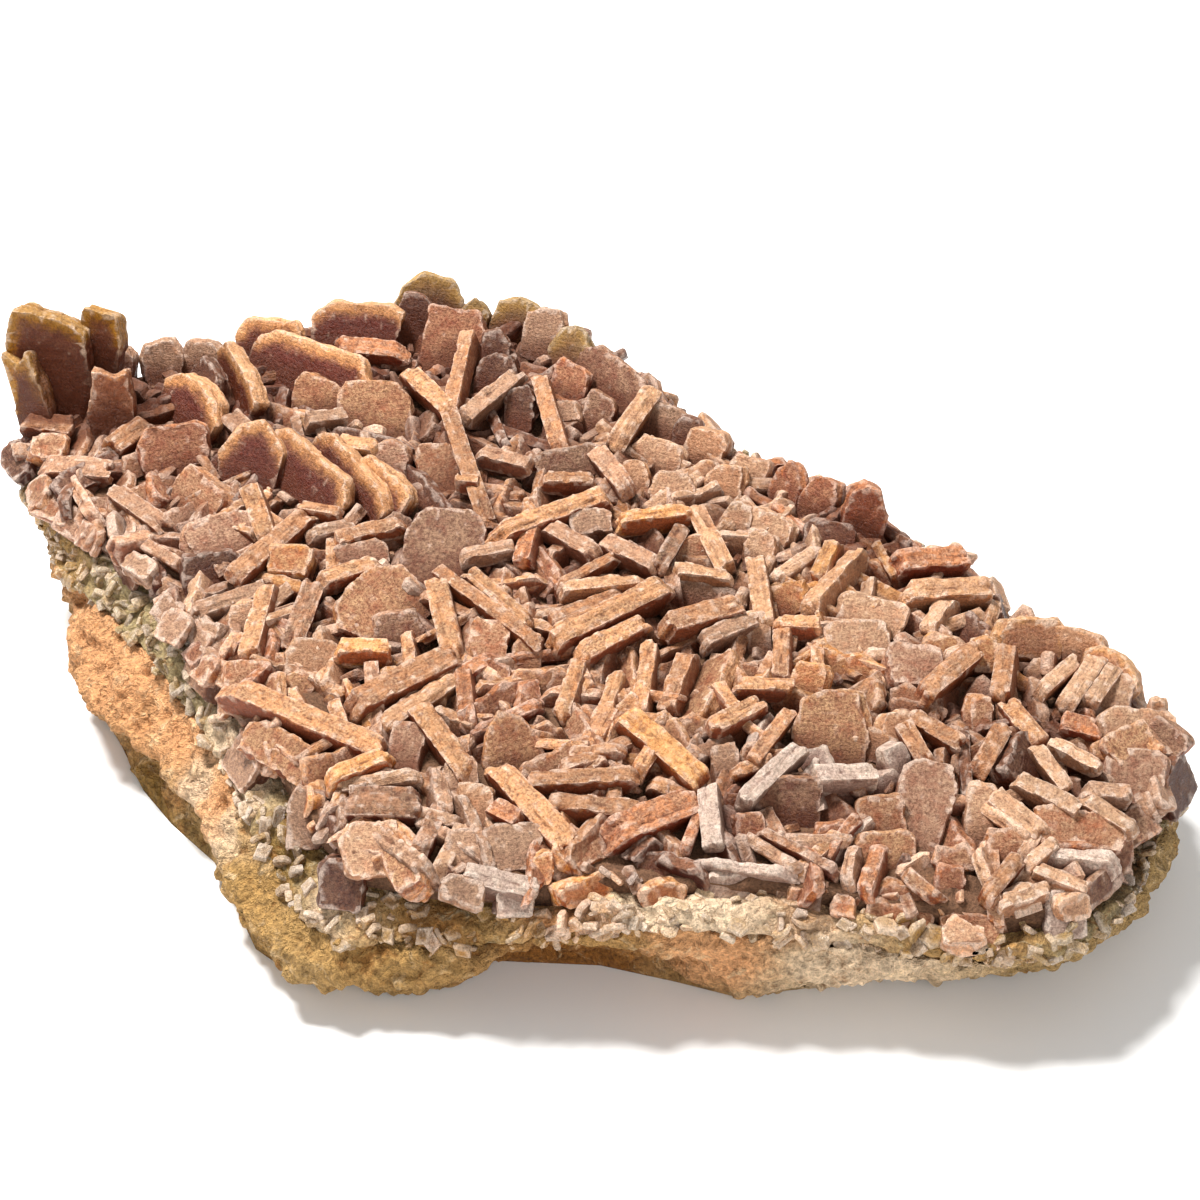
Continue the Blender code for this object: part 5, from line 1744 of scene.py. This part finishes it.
@dataclass
class Studio:
    """Floor, lamps, sky and the camera at the photograph's angle."""

    floor_half_m: float = 3.0
    sky_strength: float = 0.40
    target_m: tuple[float, float, float] = (0.0135, 0.004, 0.040)
    distance_m: float = 0.79
    elevation_deg: float = 36.0
    lens_mm: float = 70.0
    sensor_mm: float = 36.0
    lamps: Sequence[Lamp] = field(default_factory=lambda: (
        Lamp("key_lamp", (-0.45, 0.25, 1.30), 0.35, 38.0),
        Lamp("fill_lamp", (0.3, -1.2, 0.7), 1.0, 7.0),
    ))

    def build_floor(self) -> bpy.types.Object:
        """Lay the floor."""
        half = self.floor_half_m
        mesh = bpy.data.meshes.new("studio_floor")
        mesh.from_pydata([(-half, -half, 0), (half, -half, 0), (half, half, 0), (-half, half, 0)], [],
                         [(0, 1, 2, 3)])
        mesh.materials.append(FloorFinish().material())
        item = new_object("studio_floor", mesh)
        return item

    def build_sky(self) -> None:
        """Light the scene evenly from all sides."""
        world = bpy.data.worlds.new("soft_sky")
        world.use_nodes = True
        sky = world.node_tree.nodes["Background"]
        sky.inputs[0].default_value = (1.0, 1.0, 1.0, 1.0)
        sky.inputs[1].default_value = self.sky_strength
        bpy.context.scene.world = world

    def build_camera(self) -> bpy.types.Object:
        """Set up the camera."""
        angle = math.radians(self.elevation_deg)
        target = Vector(self.target_m)
        eye = target + Vector((0.0, -math.cos(angle), math.sin(angle))) * self.distance_m
        data = bpy.data.cameras.new("photo_camera")
        data.lens = self.lens_mm
        data.sensor_width = self.sensor_mm
        item = aimed(new_object("photo_camera", data), eye, target)
        bpy.context.scene.camera = item
        return item

    def build(self) -> None:
        """Set up the whole studio."""
        self.build_floor()
        self.build_sky()
        self.build_camera()
        for lamp in self.lamps:
            lamp.build()
        bpy.context.scene.view_settings.view_transform = "Standard"
        LOG.info("studio: %d lamps", len(self.lamps))


# The specimen


@dataclass
class Crevices:
    """Marks how far each point of the crystals lies under the tips round it, for the painted shade
    there.
    """

    cell_mm: float = 1.5
    tip_mm: float = 3.0
    reach_mm: float = 9.0

    def cells_of(self, piece: bpy.types.Object) -> tuple[tuple[np.ndarray, np.ndarray], np.ndarray]:
        """Cell numbers of a piece's points, X then Y, and the points' heights in mm."""
        low = np.array(CAD_BOX[0]) / MM + ORIGIN_MM
        spots = read_mesh(piece.data)[0] / MM + ORIGIN_MM
        cells = ((spots[:, :2] - low[:2]) / self.cell_mm).astype(int)
        return (cells[:, 0], cells[:, 1]), spots[:, 2]

    def roof(self, pieces: Sequence[bpy.types.Object]) -> np.ndarray:
        """Level of the highest tips near each cell of the plan, smoothed.

        Args:
            pieces: The pieces that the tips belong to.

        Returns:
            A grid of heights in mm.
        """
        low, high = (np.array(corner) / MM for corner in CAD_BOX)
        heights = np.zeros(tuple(np.ceil((high - low)[:2] / self.cell_mm).astype(int) + 1))
        for piece in pieces:
            cells, levels = self.cells_of(piece)
            np.maximum.at(heights, cells, levels)
        for reach, merge in ((self.tip_mm, np.max), (self.reach_mm, np.mean)):
            steps = range(-round(reach / self.cell_mm), round(reach / self.cell_mm) + 1)
            for way in (0, 1):
                heights = merge([np.roll(heights, step, axis=way) for step in steps], axis=0)
        return heights

    def mark(self, pieces: Sequence[bpy.types.Object], heights: np.ndarray) -> None:
        """Store the depth under the roof in the pieces' depths attribute.

        Args:
            pieces: The pieces.
            heights: The roof's grid.
        """
        for piece in pieces:
            cells, levels = self.cells_of(piece)
            depths = stored_values(piece.data, "depths", "vector", 3)
            depths[:, 1] = heights[cells] - levels
            piece.data.attributes["depths"].data.foreach_set("vector", depths.ravel())


def belongs(piece: bpy.types.Object, node: str | None = None) -> None:
    """Let a piece ride on the body, and hide the CAD node it stands for, if any."""
    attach(piece, BODY)
    if node:
        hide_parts(node)


@dataclass
class Specimen:
    """The whole specimen, from the sole up.

    The keep shares say how much of their fine mesh the listed crystals and the small ones between
    them keep.
    """

    listed_parts: int = 6
    listed_keep: float = 0.34
    filler_keep: float = 0.25
    gap_split_mm: float = -25.0

    def build_crystals(self, finish: bpy.types.Material) -> list[bpy.types.Object]:
        """Build the large crystals, one piece for each part of the specimen."""
        listed = FAR_LEFT + UPPER_LEFT + UPPER_RIGHT + LEFT + MIDDLE + RIGHT + FRONT
        filler = Filler()
        gaps = filler.gap_rows(listed)
        fringe = filler.fringe_rows(listed)
        parts = {"far_left": FAR_LEFT + LEFT, "upper_left": UPPER_LEFT, "upper_right": UPPER_RIGHT,
                 "middle": MIDDLE, "right": RIGHT, "front": FRONT,
                 "gaps_back": [row for row in gaps if row.y1 > self.gap_split_mm],
                 "gaps_front": [row for row in gaps if row.y1 <= self.gap_split_mm],
                 "fringe": fringe}
        pieces = []
        for index, (name, rows) in enumerate(parts.items()):
            keep = self.listed_keep if index < self.listed_parts else self.filler_keep
            piece = CrystalGroup("crystals_" + name, rows, 11 + index * 13, keep=keep).build(finish)
            belongs(piece, "red_barite_crystals")
            pieces.append(piece)
        return pieces

    def build_cover(self, pieces: Sequence[bpy.types.Object]) -> bpy.types.Object:
        """Join copies of pieces into a helper that small crystals keep out of."""
        builder = bmesh.new()
        for piece in pieces:
            builder.from_mesh(piece.data)
        mesh = bpy.data.meshes.new("cover")
        builder.to_mesh(mesh)
        builder.free()
        return new_object("cover", mesh)

    def build(self) -> None:
        """Build all pieces in order."""
        barite = BariteFinish().material()
        shaded_bed_finish, crust_finish, rock_finish = (StoneFinish(*row).material() for row in (
            # The bed's colours are painted shade for the depth between the crystals
            ("bed_barite_painted_shade", "8A6446", "2E1A0E", 0.9, 6.0, 0.8),
            ("crust_sugary_barite", "D8C8A4", "8A5424", 1.6, 5.0, 2.0, 0.45),
            ("matrix_sandy_rock", "E8C89C", "80501E", 1.9, 8.0, 4.0)))
        crystals = self.build_crystals(barite)
        cover = self.build_cover(crystals)
        bed = CrystalBed().build(shaded_bed_finish)
        belongs(bed)
        top = surface_part(bed, lambda middles, normals: normals[:, 2] > -0.3)
        blades = SmallCrystals(
            "small_blades",
            (Template(BAR, 0.42, 0.26), Template(TABLET, 0.55, 0.28), Template(BAR, 0.34, 0.30)),
            (DUSTY, PEACH, DUSTY, GREY, SANDY, PLUM, DUSTY, PALE), 14000.0, 8.0, 15.0,
            (35.0, 92.0), 1.5, 3)
        chips = SmallCrystals(
            "small_chips",
            (Template(TABLET, 0.7, 0.35), Template(RHOMB, 0.6, 0.3), Template(BAR, 0.45, 0.3)),
            (DUSTY, GREY, SANDY, DARK, PEACH), 30000.0, 3.0, 7.0, (15.0, 95.0), 1.0, 8)
        small = [group.build(top.copy(), cover, barite) for group in (blades, chips)]
        for piece in small:
            belongs(piece)
        # Depth under the surrounding tips, which the finish paints as shade in the gaps
        crevices = Crevices()
        crevices.mark(crystals + small, crevices.roof(crystals))
        crust = StoneSkin("barite_crust", "pale_barite_crust", "A08C64", CRUST_PATCHES, 31,
                          lump_mm=9.0, lump_depth_mm=2.0, grain_depth_mm=0.9, bedding_depth_mm=0.6,
                          smooth_rounds=5).build(crust_finish)
        belongs(crust, "pale_barite_crust")
        rock = StoneSkin("rock_plate", "matrix_rock", "A88858", ROCK_PATCHES, 57).build(rock_finish)
        belongs(rock, "matrix_rock")
        band = surface_part(crust, lambda middles, normals: np.abs(normals[:, 2]) < 0.9)
        grains = SmallCrystals(
            "crust_grains",
            (Template(RHOMB, 0.8, 0.34), Template(FAN, 0.9, 0.3), Template(BLADE, 0.5, 0.24)),
            (OCHRE, CREAM, OCHRE, WHITE, OLIVE), 70000.0, 2.5, 7.5, (30.0, 95.0), 0.8, 21, follow=True,
            cover_height_mm=1.0, gap_shade_share=0.0)
        glassy = BariteFinish("barite_glassy", smooth=0.16, matt=0.5, shine=0.5).material()
        belongs(grains.build(band, cover, glassy))
        bpy.data.objects.remove(cover)


def main() -> None:
    """Build the specimen and its studio."""
    logging.basicConfig(level=logging.INFO, format="%(message)s")
    Specimen().build()
    Studio().build()


if __name__ == "__main__":
    main()
